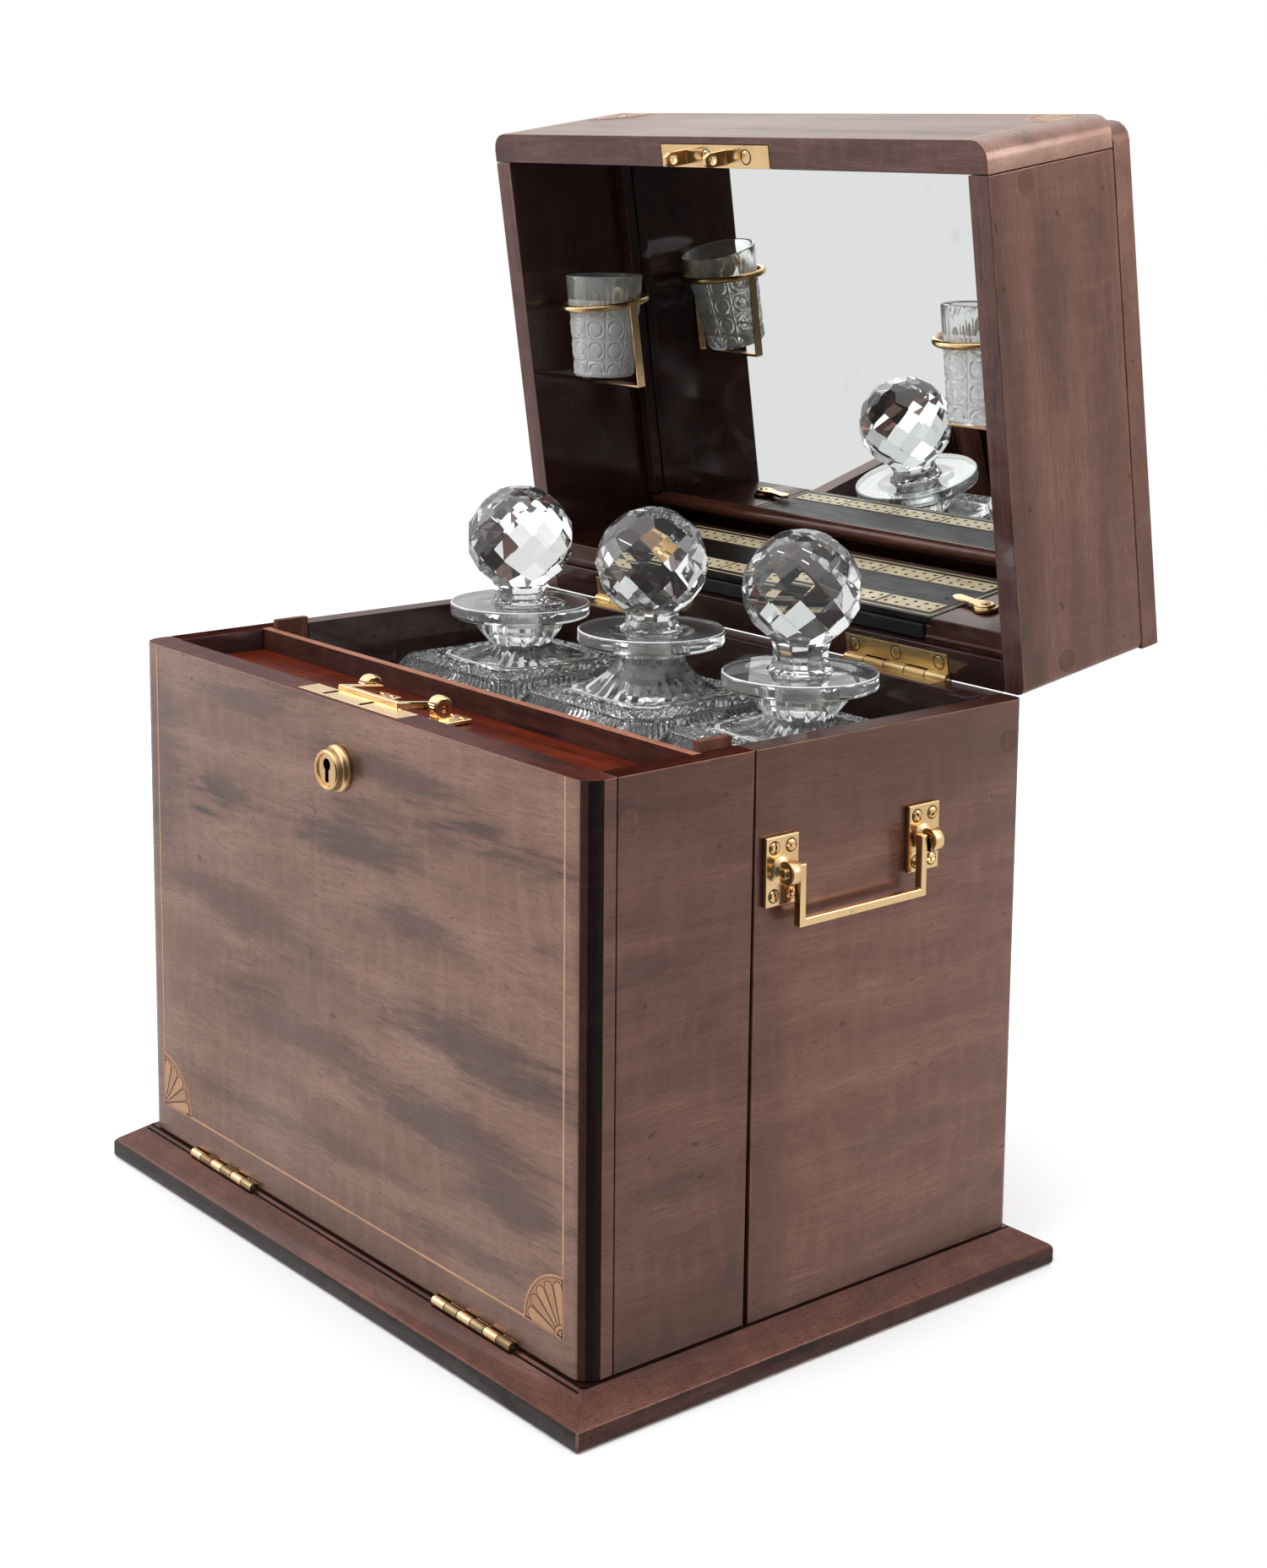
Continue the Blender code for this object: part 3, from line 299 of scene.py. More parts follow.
def worn_edges(t, co, lo, hi, width=0.0009):
    """1 on the arrises of a box and 0 elsewhere, broken up by noise."""
    dist = []
    sep = t.node("ShaderNodeSeparateXYZ")
    t.link(co, sep.inputs[0])
    for k in range(3):
        a = t.math("SUBTRACT", sep.outputs[k], lo[k])
        b = t.math("SUBTRACT", hi[k], sep.outputs[k])
        dist.append(t.math("MAXIMUM", t.math("MINIMUM", a, b), 0.0))
    small = t.math("MINIMUM", dist[0], dist[1])
    large = t.math("MAXIMUM", dist[0], dist[1])
    second = t.math("MAXIMUM", small, t.math("MINIMUM", large, dist[2]))
    patchy = t.noise(co, 60.0, 3.0, 0.6)
    reach = t.ramp(patchy, 0.30, 0.75, width * 0.25, width * 1.9)
    return t.math("SUBTRACT", 1.0, t.math("DIVIDE", second, reach), clamp=True)


def brass(name, colour=(0.80, 0.56, 0.27), rough=0.20, stain=0.35, scratch=1.0):
    """Old polished brass: warm metal with faint stains and fine rubbing marks."""
    m, t, bsdf = blank(name, Metallic=1.0)
    co = t.node("ShaderNodeTexCoord").outputs["Object"]
    spots = t.noise(co, 160.0, 4.0, 0.6)
    cloud = t.noise(co, 38.0, 3.0, 0.5)
    rub = t.noise(t.scaled(co, (900, 9000, 9000)), 1.0, 2.0)
    tone = t.mix(
        t.math("MULTIPLY", t.ramp(cloud, 0.42, 0.70), stain),
        colour,
        (colour[0] * 0.62, colour[1] * 0.52, colour[2] * 0.45),
    )
    tone = t.mix(
        t.math("MULTIPLY", t.ramp(spots, 0.60, 0.75), stain * 0.8),
        tone,
        (colour[0] * 0.35, colour[1] * 0.26, colour[2] * 0.20),
    )
    t.link(tone, bsdf.inputs["Base Color"])
    t.link(
        t.math("ADD", t.ramp(cloud, 0.3, 0.7, -0.05, 0.08), rough), bsdf.inputs["Roughness"]
    )
    t.link(t.bump(t.math("ADD", rub, t.math("MULTIPLY", spots, 0.5)), 0.05 * scratch, 0.0001), bsdf.inputs["Normal"])
    return m


def glass(name, clear=1.0, rough=(0.0, 0.035), tint=(0.985, 0.995, 0.99), ior=1.58):
    """Lead glass. clear is the share that passes light: the rest is a pale diffuse white, painted light for the glints
    caught and thrown back inside the cuts.
    """
    m, t, bsdf = blank(
        name,
        Base_Color=tint,
        IOR=ior,
        Transmission_Weight=clear,
    )
    co = t.node("ShaderNodeTexCoord").outputs["Object"]
    haze = t.noise(co, 55.0, 3.0, 0.6)
    t.link(t.ramp(haze, 0.50, 0.80, *rough), bsdf.inputs["Roughness"])
    return m


# ---------------------------------------------------------------- materials
REDDISH = dict(dark=(0.130, 0.056, 0.040), mid=(0.215, 0.104, 0.076), light=(0.285, 0.146, 0.108))
BROWN = dict(dark=(0.180, 0.094, 0.069), mid=(0.300, 0.176, 0.134), light=(0.400, 0.245, 0.190))
GREY = (0.068, 0.052, 0.052)


def shell_wood(name, node=None, matrix=None, **kw):
    """Outer mahogany with its worn arrises on the box of one node."""
    if node:
        co = [v.co for v in nodes[node].data.vertices]
        if matrix is not None:
            inv = matrix.inverted()
            co = [inv @ c for c in co]
        lo = [min(c[k] for c in co) for k in range(3)]
        hi = [max(c[k] for c in co) for k in range(3)]
        kw["edges"] = (lo, hi)
    for axis, sign in kw.pop("hidden", ()):
        # a joint that is not an outer arris isn't rubbed
        lo, hi = kw["edges"]
        (hi if sign > 0 else lo)[axis] += sign * 0.05
    base = dict(REDDISH)
    base.update(streak=GREY)
    base.update(kw)
    return wood(name, **base)


def front_pick(centre, normal):
    """Fall-front: inside 1, rim 2 in painted shade, then the rounded corners, painted dark for the shade and dark
    reflection on them, which go from half-dark 3 to near-black 4, and the sides 5.
    """
    if normal.y > 0.9:
        return 1
    if normal.z > 0.9:
        return 2
    if abs(normal.z) > 0.5:
        return 0
    turn = math.degrees(math.atan2(abs(normal.x), -normal.y))
    if turn < 22:
        return 0
    if turn > 86:
        return 5
    return 4 if 44 < turn < 80 else 3


DARK_IN = dict(
    dark=(0.022, 0.0075, 0.0075),
    mid=(0.050, 0.0185, 0.0175),
    light=(0.085, 0.033, 0.030),
    streak=(0.016, 0.007, 0.007),
    rough=0.42,
    coat=0.7,
    coat_rough=0.10,
    fibre_gloss=0.35,
)
MAT_DARK_X = wood("dark_mahogany_x", **DARK_IN)
MAT_DARK_Y = wood("dark_mahogany_y", grain="Y", seed=1.3, **DARK_IN)
MAT_DARK_Z = wood("dark_mahogany_z", grain="Z", seed=2.3, **DARK_IN)
RIM = dict(
    dark=(0.026, 0.0065, 0.0045),
    mid=(0.068, 0.0175, 0.0120),
    light=(0.135, 0.045, 0.032),
    streak=(0.020, 0.008, 0.007),
    streak_amount=0.7,
    rough=0.36,
    coat=0.10,
    coat_rough=0.10,
    fibre_gloss=0.45,
    specular=0.08,
    figure=1.8,
)
MAT_RIM_X = wood("rim_mahogany_x", seed=3.7, **RIM)
MAT_RIM_Y = wood("rim_mahogany_y", grain="Y", seed=5.1, **RIM)
LID_RIM = dict(RIM, dark=(0.055, 0.024, 0.021), mid=(0.125, 0.060, 0.052), light=(0.20, 0.105, 0.092), streak=(0.035, 0.018, 0.018), coat=0.5, coat_rough=0.07)
MAT_LID_RIM_X = wood("lid_rim_mahogany_x", seed=4.4, **LID_RIM)
MAT_LID_RIM_Y = wood("lid_rim_mahogany_y", grain="Y", seed=6.9, **LID_RIM)
MAT_RED = wood(
    "red_mahogany",
    dark=(0.065, 0.0075, 0.0030),
    mid=(0.150, 0.0190, 0.0070),
    light=(0.240, 0.038, 0.014),
    streak=(0.040, 0.005, 0.003),
    streak_amount=0.6,
    figure=1.5,
    rough=0.34,
    coat=0.10,
    coat_rough=0.05,
    fibre_gloss=0.0,
    specular=0.02,
    tone=0.80,
)
MAT_PANEL = wood(
    "divider_face",
    dark=(0.036, 0.0105, 0.0080),
    mid=(0.088, 0.0270, 0.0195),
    light=(0.135, 0.045, 0.034),
    streak=(0.024, 0.009, 0.009),
    streak_amount=0.8,
    figure=2.2,
    rough=0.5,
    coat=0.08,
    coat_rough=0.2,
    fibre_gloss=0.2,
    seed=6.6,
)
MAT_MOULD = wood(
    "moulding_mahogany",
    dark=(0.035, 0.010, 0.007),
    mid=(0.100, 0.031, 0.019),
    light=(0.175, 0.063, 0.039),
    streak=(0.020, 0.008, 0.006),
    streak_amount=0.5,
    figure=2.0,
    rough=0.36,
    coat=0.5,
    coat_rough=0.10,
    fibre_gloss=0.4,
    seed=8.8,
)
MAT_BARE = wood(
    "bare_mahogany_edge",
    dark=(0.200, 0.070, 0.038),
    mid=(0.400, 0.160, 0.098),
    light=(0.540, 0.240, 0.152),
    streak=(0.160, 0.060, 0.036),
    rough=0.60,
    coat=0.0,
    fibre_gloss=0.1,
)
MAT_TONGUE = wood(
    "tongue_mahogany",
    dark=(0.065, 0.024, 0.017),
    mid=(0.165, 0.064, 0.044),
    light=(0.260, 0.112, 0.078),
    streak=(0.050, 0.020, 0.014),
    grain="Z",
    figure=2.5,
    rough=0.55,
    coat=0.05,
    fibre_gloss=0.2,
)
MAT_BRASS = brass("brass", (0.88, 0.605, 0.315), 0.21)
MAT_BRASS_AGED = brass("brass_aged", (0.56, 0.41, 0.20), 0.30, 0.7)
MAT_BRASS_DULL = brass("brass_dull", (0.36, 0.26, 0.14), 0.36, 0.8)
MAT_BRASS_DARK = brass("brass_shadowed", (0.060, 0.040, 0.022), 0.5, 0.6)
# the flange, deep-cut and tumbler glass below pass only part of the light: the pale diffuse rest is painted glint
MAT_GLASS = glass("cut_glass", 0.97)
MAT_FLANGE = glass("cut_glass_flange_painted_light", 0.88, (0.01, 0.07), (0.95, 0.97, 0.955))
MAT_GLINT = glass("cut_glass_painted_glint", 0.22, (0.01, 0.06), (0.965, 0.985, 0.98))
MAT_TUMBLER = glass("cut_glass_tumbler_painted_light", 0.60, (0.02, 0.07), (0.95, 0.96, 0.955))
MAT_MIRROR, t_, b_ = blank("silvered_mirror", Metallic=1.0, Roughness=0.0, Base_Color=(0.86, 0.885, 0.87))
co_ = t_.node("ShaderNodeTexCoord").outputs["Object"]
t_.link(
    t_.mix(t_.ramp(t_.noise(co_, 26.0, 5.0, 0.7), 0.62, 0.80), (0.86, 0.885, 0.87), (0.70, 0.71, 0.69)),
    b_.inputs["Base Color"],
)
t_.link(t_.ramp(t_.noise(co_, 18.0, 4.0, 0.6), 0.55, 0.8, 0.004, 0.05), b_.inputs["Roughness"])

# ---------------------------------------------------------------- geometry helpers


def mesh_from(bm, name):
    mesh = bpy.data.meshes.new(name)
    bm.to_mesh(mesh)
    bm.free()
    return mesh


# the start of a finish's name, and the record's slot that it belongs to
SLOT_STARTS = (
    ("brass", "brass"),
    ("cut_glass", "cut_glass"),
    ("ground_glass", "cut_glass"),
    ("silvered", "mirror_glass"),
    ("red_", "red_mahogany"),
    ("dark_", "dark_interior"),
    ("divider", "dark_interior"),
    ("ebon", "ebonised_wood"),
    ("ivory", "ebonised_wood"),
    ("black_leather", "black_leathercloth"),
    ("", "mahogany"),
)


def piece(name, bm, mats, body, matrix=ONE, smooth=None, bevel=None, segments=2, angle=30, clamp=True):
    """A new visible piece from a bmesh. smooth is the crease angle in degrees, None leaves it flat."""
    bmesh.ops.recalc_face_normals(bm, faces=bm.faces)
    mesh = mesh_from(bm, name)
    o = bpy.data.objects.new(name, mesh)
    bpy.context.scene.collection.objects.link(o)
    for m in mats if isinstance(mats, (list, tuple)) else [mats]:
        mesh.materials.append(m)
    if smooth is not None:
        mesh.shade_smooth()
        mesh.set_sharp_from_angle(angle=math.radians(smooth))
    if bevel:
        mod = o.modifiers.new("arris", "BEVEL")
        mod.width = bevel
        mod.segments = segments
        mod.limit_method = "ANGLE"
        mod.angle_limit = math.radians(angle)
        mod.use_clamp_overlap = clamp
        if smooth is not None:
            mod.harden_normals = True
    o.matrix_world = matrix
    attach(o, body)
    first = mesh.materials[0].name
    for start, slot in SLOT_STARTS:
        if first.startswith(start):
            break
    return o


def from_node(node, matrix=ONE):
    """The CAD node's own surface as clean flat faces, in coordinates taken back through matrix."""
    bm = bmesh.new()
    bm.from_mesh(nodes[node].data)
    bmesh.ops.remove_doubles(bm, verts=bm.verts, dist=1e-6)
    bmesh.ops.transform(bm, matrix=matrix.inverted(), verts=bm.verts)
    bmesh.ops.dissolve_limit(
        bm, angle_limit=math.radians(0.4), verts=bm.verts, edges=bm.edges, delimit={"NORMAL"}
    )
    return bm


def dress(node, mats, matrix=ONE, bevel=0.0004, segments=2, smooth=40, angle=28, clamp=False, pick=None):
    """The CAD node with eased arrises and a finish, standing for the plain solid.

    pick(centre, normal) chooses the finish of each face by number.
    """
    bm = from_node(node, matrix)
    if pick:
        bm.normal_update()
        for f in bm.faces:
            f.material_index = pick(f.calc_center_median(), f.normal)
    o = piece(
        f"{node}_dressed",
        bm,
        mats,
        nodes[node]["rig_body"],
        matrix,
        smooth,
        bevel,
        segments,
        angle,
        clamp,
    )
    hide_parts(node)
    return o


def add_box(bm, x, y, z):
    made = bmesh.ops.create_cube(bm, size=1)["verts"]
    for v in made:
        v.co = Vector(
            [(lo + hi) / 2 + c * (hi - lo) for c, (lo, hi) in zip(v.co, (x, y, z))]
        )
    return made


TURN = {
    "X": Matrix.Rotation(math.pi / 2, 4, "Y"),
    "Y": Matrix.Rotation(math.pi / 2, 4, "X"),
    "Z": Matrix.Identity(4),
    "-Y": Matrix.Rotation(-math.pi / 2, 4, "X"),
    "-X": Matrix.Rotation(-math.pi / 2, 4, "Y"),
}


def add_lathe(bm, profile, steps, matrix=ONE, closed=False, material=0, phase=0.0):
    """A profile of (radius, height) points turned about Z. Points on the axis close it."""
    rings = []
    for r, h in profile:
        if r < 1e-7:
            rings.append([bm.verts.new(matrix @ Vector((0, 0, h)))])
        else:
            rings.append(
                [
                    bm.verts.new(
                        matrix
                        @ Vector(
                            (
                                r * math.cos(2 * math.pi * k / steps + phase),
                                r * math.sin(2 * math.pi * k / steps + phase),
                                h,
                            )
                        )
                    )
                    for k in range(steps)
                ]
            )
    pairs = list(zip(rings, rings[1:]))
    if closed:
        pairs.append((rings[-1], rings[0]))
    for a, b in pairs:
        for k in range(steps):
            ring = [a[k % len(a)], a[(k + 1) % len(a)], b[(k + 1) % len(b)], b[k % len(b)]]
            uniq = []
            for v in ring:
                if v not in uniq:
                    uniq.append(v)
            if len(uniq) > 2:
                f = bm.faces.new(uniq)
                f.material_index = material
    return rings


def add_prism(bm, points, plane, lo, hi, material=0, matrix=ONE):
    """A closed outline in a plane with thickness along the third axis."""
    order = {"XY": (0, 1, 2), "XZ": (0, 2, 1), "YZ": (1, 2, 0)}[plane]

    def at(u, v, w):
        p = [0, 0, 0]
        p[order[0]], p[order[1]], p[order[2]] = u, v, w
        return matrix @ Vector(p)

    a = [bm.verts.new(at(u, v, lo)) for u, v in points]
    b = [bm.verts.new(at(u, v, hi)) for u, v in points]
    faces = [bm.faces.new(a[::-1]), bm.faces.new(b)]
    n = len(points)
    for k in range(n):
        faces.append(bm.faces.new((a[k], a[(k + 1) % n], b[(k + 1) % n], b[k])))
    for f in faces:
        f.material_index = material
    return a + b


def arc(cx, cy, r, start, end, steps):
    return [
        (
            cx + r * math.cos(math.radians(start + (end - start) * i / steps)),
            cy + r * math.sin(math.radians(start + (end - start) * i / steps)),
        )
        for i in range(steps + 1)
    ]


def add_screw(bm, centre, normal, radius, turn=0.3, dome=0.35, slot=0.17, material=0, slot_material=1):
    """A slotted screw head: two half domes with the slot between them, on a disc."""
    normal = Vector(normal).normalized()
    q = normal.to_track_quat("Z", "Y").to_matrix().to_4x4()
    m = Matrix.Translation(Vector(centre)) @ q @ Matrix.Rotation(turn, 4, "Z")
    rise = radius * dome
    w = radius * slot
    for s in (-1, 1):
        half = bmesh.new()
        prof = [(0, rise)] + [
            (radius * math.sin(a), rise * math.cos(a) ** 0.8 if math.cos(a) > 0 else 0)
            for a in (0.35, 0.7, 1.05, 1.3, math.pi / 2)
        ]
        prof += [(radius, -radius * 0.2), (0, -radius * 0.2)]
        add_lathe(half, prof, 20)
        cut = bmesh.ops.bisect_plane(
            half,
            geom=half.verts[:] + half.edges[:] + half.faces[:],
            plane_co=(0, s * w, 0),
            plane_no=(0, s, 0),
            clear_inner=True,
        )
        edges = [e for e in cut["geom_cut"] if isinstance(e, bmesh.types.BMEdge)]
        if edges:
            bmesh.ops.contextual_create(half, geom=edges)
        bmesh.ops.transform(half, matrix=m, verts=half.verts)
        tmp = bpy.data.meshes.new("tmp")
        for f in half.faces:
            f.material_index = material
        bmesh.ops.recalc_face_normals(half, faces=half.faces)
        half.to_mesh(tmp)
        half.free()
        bm.from_mesh(tmp)
        bpy.data.meshes.remove(tmp)
    add_lathe(
        bm,
        [(0, rise * 0.15 - radius * 0.05), (radius * 0.97, -radius * 0.05), (radius * 0.97, -radius * 0.22), (0, -radius * 0.22)],
        20,
        m,
        material=slot_material,
    )


# ---------------------------------------------------------------- camera
cam_data = bpy.data.cameras.new("camera")
cam = bpy.data.objects.new("camera", cam_data)
bpy.context.scene.collection.objects.link(cam)
yaw, pitch, roll = -0.88244, 0.15632, 0.00879
fwd = Vector((math.sin(yaw) * math.cos(pitch), math.cos(yaw) * math.cos(pitch), -math.sin(pitch)))
right = Vector((math.cos(yaw), -math.sin(yaw), 0))
up = right.cross(fwd)
r2 = right * math.cos(roll) + up * math.sin(roll)
u2 = -right * math.sin(roll) + up * math.cos(roll)
cam.matrix_world = Matrix(
    (
        (r2.x, u2.x, -fwd.x, 0.87389),
        (r2.y, u2.y, -fwd.y, -0.68018),
        (r2.z, u2.z, -fwd.z, 0.48601),
        (0, 0, 0, 1),
    )
)
cam_data.sensor_fit = "AUTO"
cam_data.sensor_width = 36
cam_data.lens = 3040.26 * 36 / 1857
cam_data.shift_y = -0.1607
cam_data.clip_start = 0.01
cam_data.clip_end = 50
bpy.context.scene.camera = cam

# ---------------------------------------------------------------- studio
world = bpy.data.worlds.new("studio")
bpy.context.scene.world = world
world.use_nodes = True
t = Tree(world.node_tree)
bg = world.node_tree.nodes["Background"]
out = world.node_tree.nodes["World Output"]
gen = t.node("ShaderNodeTexCoord").outputs["Generated"]


def toward(direction, lo, hi):
    """1 in a cone round a direction of the room, fading to 0."""
    d = t.node("ShaderNodeVectorMath", operation="DOT_PRODUCT")
    t.link(gen, d.inputs[0])
    d.inputs[1].default_value = Vector(direction).normalized()
    return t.ramp(d.outputs["Value"], lo, hi)


# a white tent all round, open and dark on the side of the viewer
dark_side = toward((0.66, -0.75, -0.1), 0.50, 0.84)
overhead = toward((-0.1, 0.1, 1.0), 0.45, 0.85)
level = t.math("MULTIPLY", dark_side, -0.76)
level = t.math("ADD", level, 0.84)
level = t.math("ADD", level, t.math("MULTIPLY", overhead, 0.9))
path = t.node("ShaderNodeLightPath")
strength = t.math(
    "ADD",
    t.math("MULTIPLY", level, t.math("SUBTRACT", 1.0, path.outputs["Is Camera Ray"])),
    path.outputs["Is Camera Ray"],
)
bg.inputs["Color"].default_value = (1, 1, 1, 1)
t.link(strength, bg.inputs["Strength"])


def area(name, at, to, size, energy, colour=(1, 1, 1)):
    light = bpy.data.lights.new(name, "AREA")
    light.shape = "RECTANGLE"
    light.size, light.size_y = size
    light.energy = energy
    light.color = colour
    o = bpy.data.objects.new(name, light)
    bpy.context.scene.collection.objects.link(o)
    o.location = at
    o.rotation_euler = (Vector(to) - Vector(at)).to_track_quat("-Z", "Y").to_euler()
    return o


area("key_right", (1.3, 0.95, 0.95), (0.05, 0.0, 0.22), (0.6, 0.6), 7)
area("soft_left", (-1.5, -0.9, 0.95), (0, 0, 0.2), (0.9, 0.9), 6)
fill = area("fill_front", (0.2, -1.25, 1.15), (0, 0.05, 0.3), (0.8, 0.8), 9)
fill.visible_glossy = False
fill.visible_transmission = False

floor_bm = bmesh.new()
add_lathe(floor_bm, [(0, 0), (0.5, 0), (1.0, 0), (2.0, 0), (4.0, 0)], 64, Matrix.Translation((0, 0, -0.0002)))
floor_mesh = mesh_from(floor_bm, "floor")
floor = bpy.data.objects.new("floor", floor_mesh)
bpy.context.scene.collection.objects.link(floor)
fm, t, bsdf = blank("floor_paper", Base_Color=(0.93, 0.93, 0.93), Roughness=0.9, Specular_IOR_Level=0.1)
co = t.node("ShaderNodeTexCoord").outputs["Object"]
ln = t.node("ShaderNodeVectorMath", operation="LENGTH")
t.link(co, ln.inputs[0])
t.link(t.ramp(ln.outputs["Value"], 0.8, 2.6, 1.0, 0.0), bsdf.inputs["Alpha"])
floor_mesh.materials.append(fm)
floor.visible_glossy = False

# light passes many times between the cuts of the glass
cycles = bpy.context.scene.cycles
cycles.max_bounces = 24
cycles.transmission_bounces = 24
cycles.glossy_bounces = 8

view = bpy.context.scene.view_settings
view.view_transform = "Standard"
view.look = "None"
view.exposure = 0.0

# ---------------------------------------------------------------- boards of the case
def faces_of(inner, rim):
    """inner and rim are direction vectors: faces turned that way take finish 1 and 2."""
    inner, rim = Vector(inner), Vector(rim)

    def pick(centre, normal):
        if normal.dot(inner) > 0.9:
            return 1
        if normal.dot(rim) > 0.9:
            return 2
        return 0

    return pick


PLINTH_WOOD = dict(dark=(0.056, 0.0165, 0.0105), mid=(0.108, 0.038, 0.0255), light=(0.165, 0.066, 0.046), streak=(0.04, 0.020, 0.017), streak_amount=0.45, seed=4.0, figure=1.6, coat=0.22, pores=2.0, edge_tint=(0.40, 0.23, 0.17), edge_amount=0.85, marks=0.5)
PLINTH_EDGE = dict(PLINTH_WOOD, dark=(0.020, 0.016, 0.015), mid=(0.044, 0.036, 0.034), light=(0.080, 0.066, 0.061), streak=(0.015, 0.012, 0.012), streak_amount=0.8, figure=2.6)


def plinth_pick(centre, normal):
    if normal.z > 0.3:
        return 1 if abs(normal.x) > abs(normal.y) else 0
    if abs(normal.z) > 0.9:
        return 0
    return 3 if abs(normal.x) > abs(normal.y) else 2


dress(
    "plinth",
    [
        shell_wood("plinth_wood_x", "plinth", **PLINTH_WOOD),
        shell_wood("plinth_wood_y", "plinth", grain="Y", tone=0.92, **PLINTH_WOOD),
        shell_wood("plinth_edge_x", "plinth", **PLINTH_EDGE),
        shell_wood("plinth_edge_y", "plinth", grain="Y", **dict(PLINTH_EDGE, dark=(0.034, 0.013, 0.010), mid=(0.066, 0.028, 0.021), light=(0.110, 0.050, 0.038))),
    ],
    bevel=0.0005,
    pick=plinth_pick,
)
# painted shadow: near-black lines where the case meets the moulding, standing for the shade in that joint
MAT_FOOT_SHADOW = wood("foot_line", dark=(0.004, 0.0025, 0.0022), mid=(0.009, 0.005, 0.0042), light=(0.018, 0.010, 0.008), streak=(0.004, 0.003, 0.003), fibre_gloss=0.0, coat=0.0, specular=0.02)


def on_slope(out):
    return ZB - max(0.0, out - 0.0008) * 0.6667 + 0.00012


def foot_line(name, inner, outer, lo, hi, axis, side=-1):
    """A thin line of painted shadow on the slope of the moulding, from inner to outer and from lo to hi along it."""
    bm = bmesh.new()
    outline = [(inner, on_slope(inner)), (outer, on_slope(outer)), (outer, on_slope(outer) - 0.0003), (inner, on_slope(inner) - 0.0003)]
    if axis == "X":
        add_prism(bm, [(Y0 - o, z) for o, z in outline], "YZ", lo, hi)
    else:
        add_prism(bm, [(side * (HALF + o), z) for o, z in outline], "XZ", lo, hi)
    piece(name, bm, MAT_FOOT_SHADOW, "case")


# painted shadow along the foot of the front, broken at the hinges, and along both sides
for k, (lo, hi) in enumerate(((-HALF, -0.1236), (-0.0694, 0.0694), (0.1236, HALF))):
    foot_line(f"foot_line_front_{k}", 0.0001, 0.0011, lo, hi, "X")
    foot_line(f"foot_line_front_outer_{k}", 0.0023, 0.0030, lo, hi, "X")
for side, x in (("left", -1), ("right", 1)):
    foot_line(f"foot_line_{side}", 0.0001, 0.0009, Y0, Y0 + D, "Y", x)
dress("base_board", MAT_DARK_X, bevel=None)
FRONT_PATCHES = [
    ((-0.085, 0, za(-0.012)), (0.070, 0, 0.010), 0.55),
    ((0.030, 0, za(-0.022)), (0.075, 0, 0.010), 0.65),
    ((0.010, 0, za(-0.056)), (0.060, 0, 0.017), 0.80),
    ((0.055, 0, za(-0.080)), (0.060, 0, 0.010), 0.70),
    ((-0.150, 0, za(-0.050)), (0.030, 0, 0.060), 0.55),
    ((-0.080, 0, za(-0.110)), (0.100, 0, 0.016), 0.50),
    ((0.095, 0, za(-0.124)), (0.085, 0, 0.018), 0.75),
    ((-0.030, 0, za(-0.150)), (0.110, 0, 0.014), 0.50),
    ((0.060, 0, za(-0.160)), (0.100, 0, 0.014), 0.70),
    ((0.125, 0, za(-0.176)), (0.050, 0, 0.016), 0.70),
    ((-0.040, 0, za(-0.196)), (0.120, 0, 0.010), 0.45),
    ((0.090, 0, za(-0.206)), (0.070, 0, 0.009), 0.55),
]
# painted shade on the fall-front: darker toward both rounded corners and along the foot
FRONT_PAINTED_SHADE = [
    ((0.1695, 0, 0.13), (0.0080, 0, 1.0), 0.9),
    ((-0.172, 0, 0.13), (0.016, 0, 1.0), 0.5),
    ((0.0, 0, 0.005), (0.30, 0, 0.030), 0.35),
]
# painted shade on the case sides: darker toward the top and the foot, and in a soft upright band
CASE_PAINTED_SHADE = [
    ((0, ya(0.150), za(0.010)), (0, 0.30, 0.060), 0.50),
    ((0, ya(0.082), 0.12), (0, 0.022, 0.30), 0.35),
    ((0, ya(0.150), 0.005), (0, 0.30, 0.030), 0.35),
]
CASE_PATCHES = [((0, ya(0.226), ZB + 0.024), (0, 0.0045, 0.006), 1.0), ((0, ya(0.165), ZB + 0.060), (0, 0.045, 0.010), 0.45)]
# painted shade on the cheeks: darker at the front corner, toward the top and toward the foot
CHEEK_PAINTED_SHADE = [
    ((0, ya(-0.002), 0.13), (0, 0.0135, 1.0), 0.96),
    ((0, ya(0.050), za(0.010)), (0, 0.10, 0.050), 0.45),
    ((0, ya(0.050), 0.010), (0, 0.10, 0.040), 0.45),
]
CHEEK_PATCHES = [((0, ya(0.045), ZB + 0.070), (0, 0.024, 0.014), 0.8), ((0, ya(0.074), ZB + 0.024), (0, 0.004, 0.010), 0.9), ((0, ya(0.020), ZB + 0.004), (0, 0.016, 0.006), 0.8)]
# painted shade: the rounded corners of the fall-front are near black for the shade and dark reflection on them, with a
# half-dark step on each side
MAT_CORNER_HALF_SHADE = wood("corner_painted_half_shade", dark=(0.026, 0.011, 0.0085), mid=(0.048, 0.021, 0.016), light=(0.075, 0.034, 0.026), streak=(0.03, 0.02, 0.02), grain="Z", fibre_gloss=0.15, coat=0.12, specular=0.05)
MAT_CORNER_SHADE = wood("corner_painted_shade", dark=(0.006, 0.003, 0.003), mid=(0.012, 0.006, 0.005), light=(0.022, 0.012, 0.010), streak=(0.006, 0.004, 0.004), grain="Z", fibre_gloss=0.0, coat=0.10, coat_rough=0.2, specular=0.02)
MAT_FRONT_SIDE = shell_wood("front_side_wood", "front_board", grain="Y", seed=1.1, streak_amount=0.5, tone=0.78, hidden=((1, 1), (1, -1)))
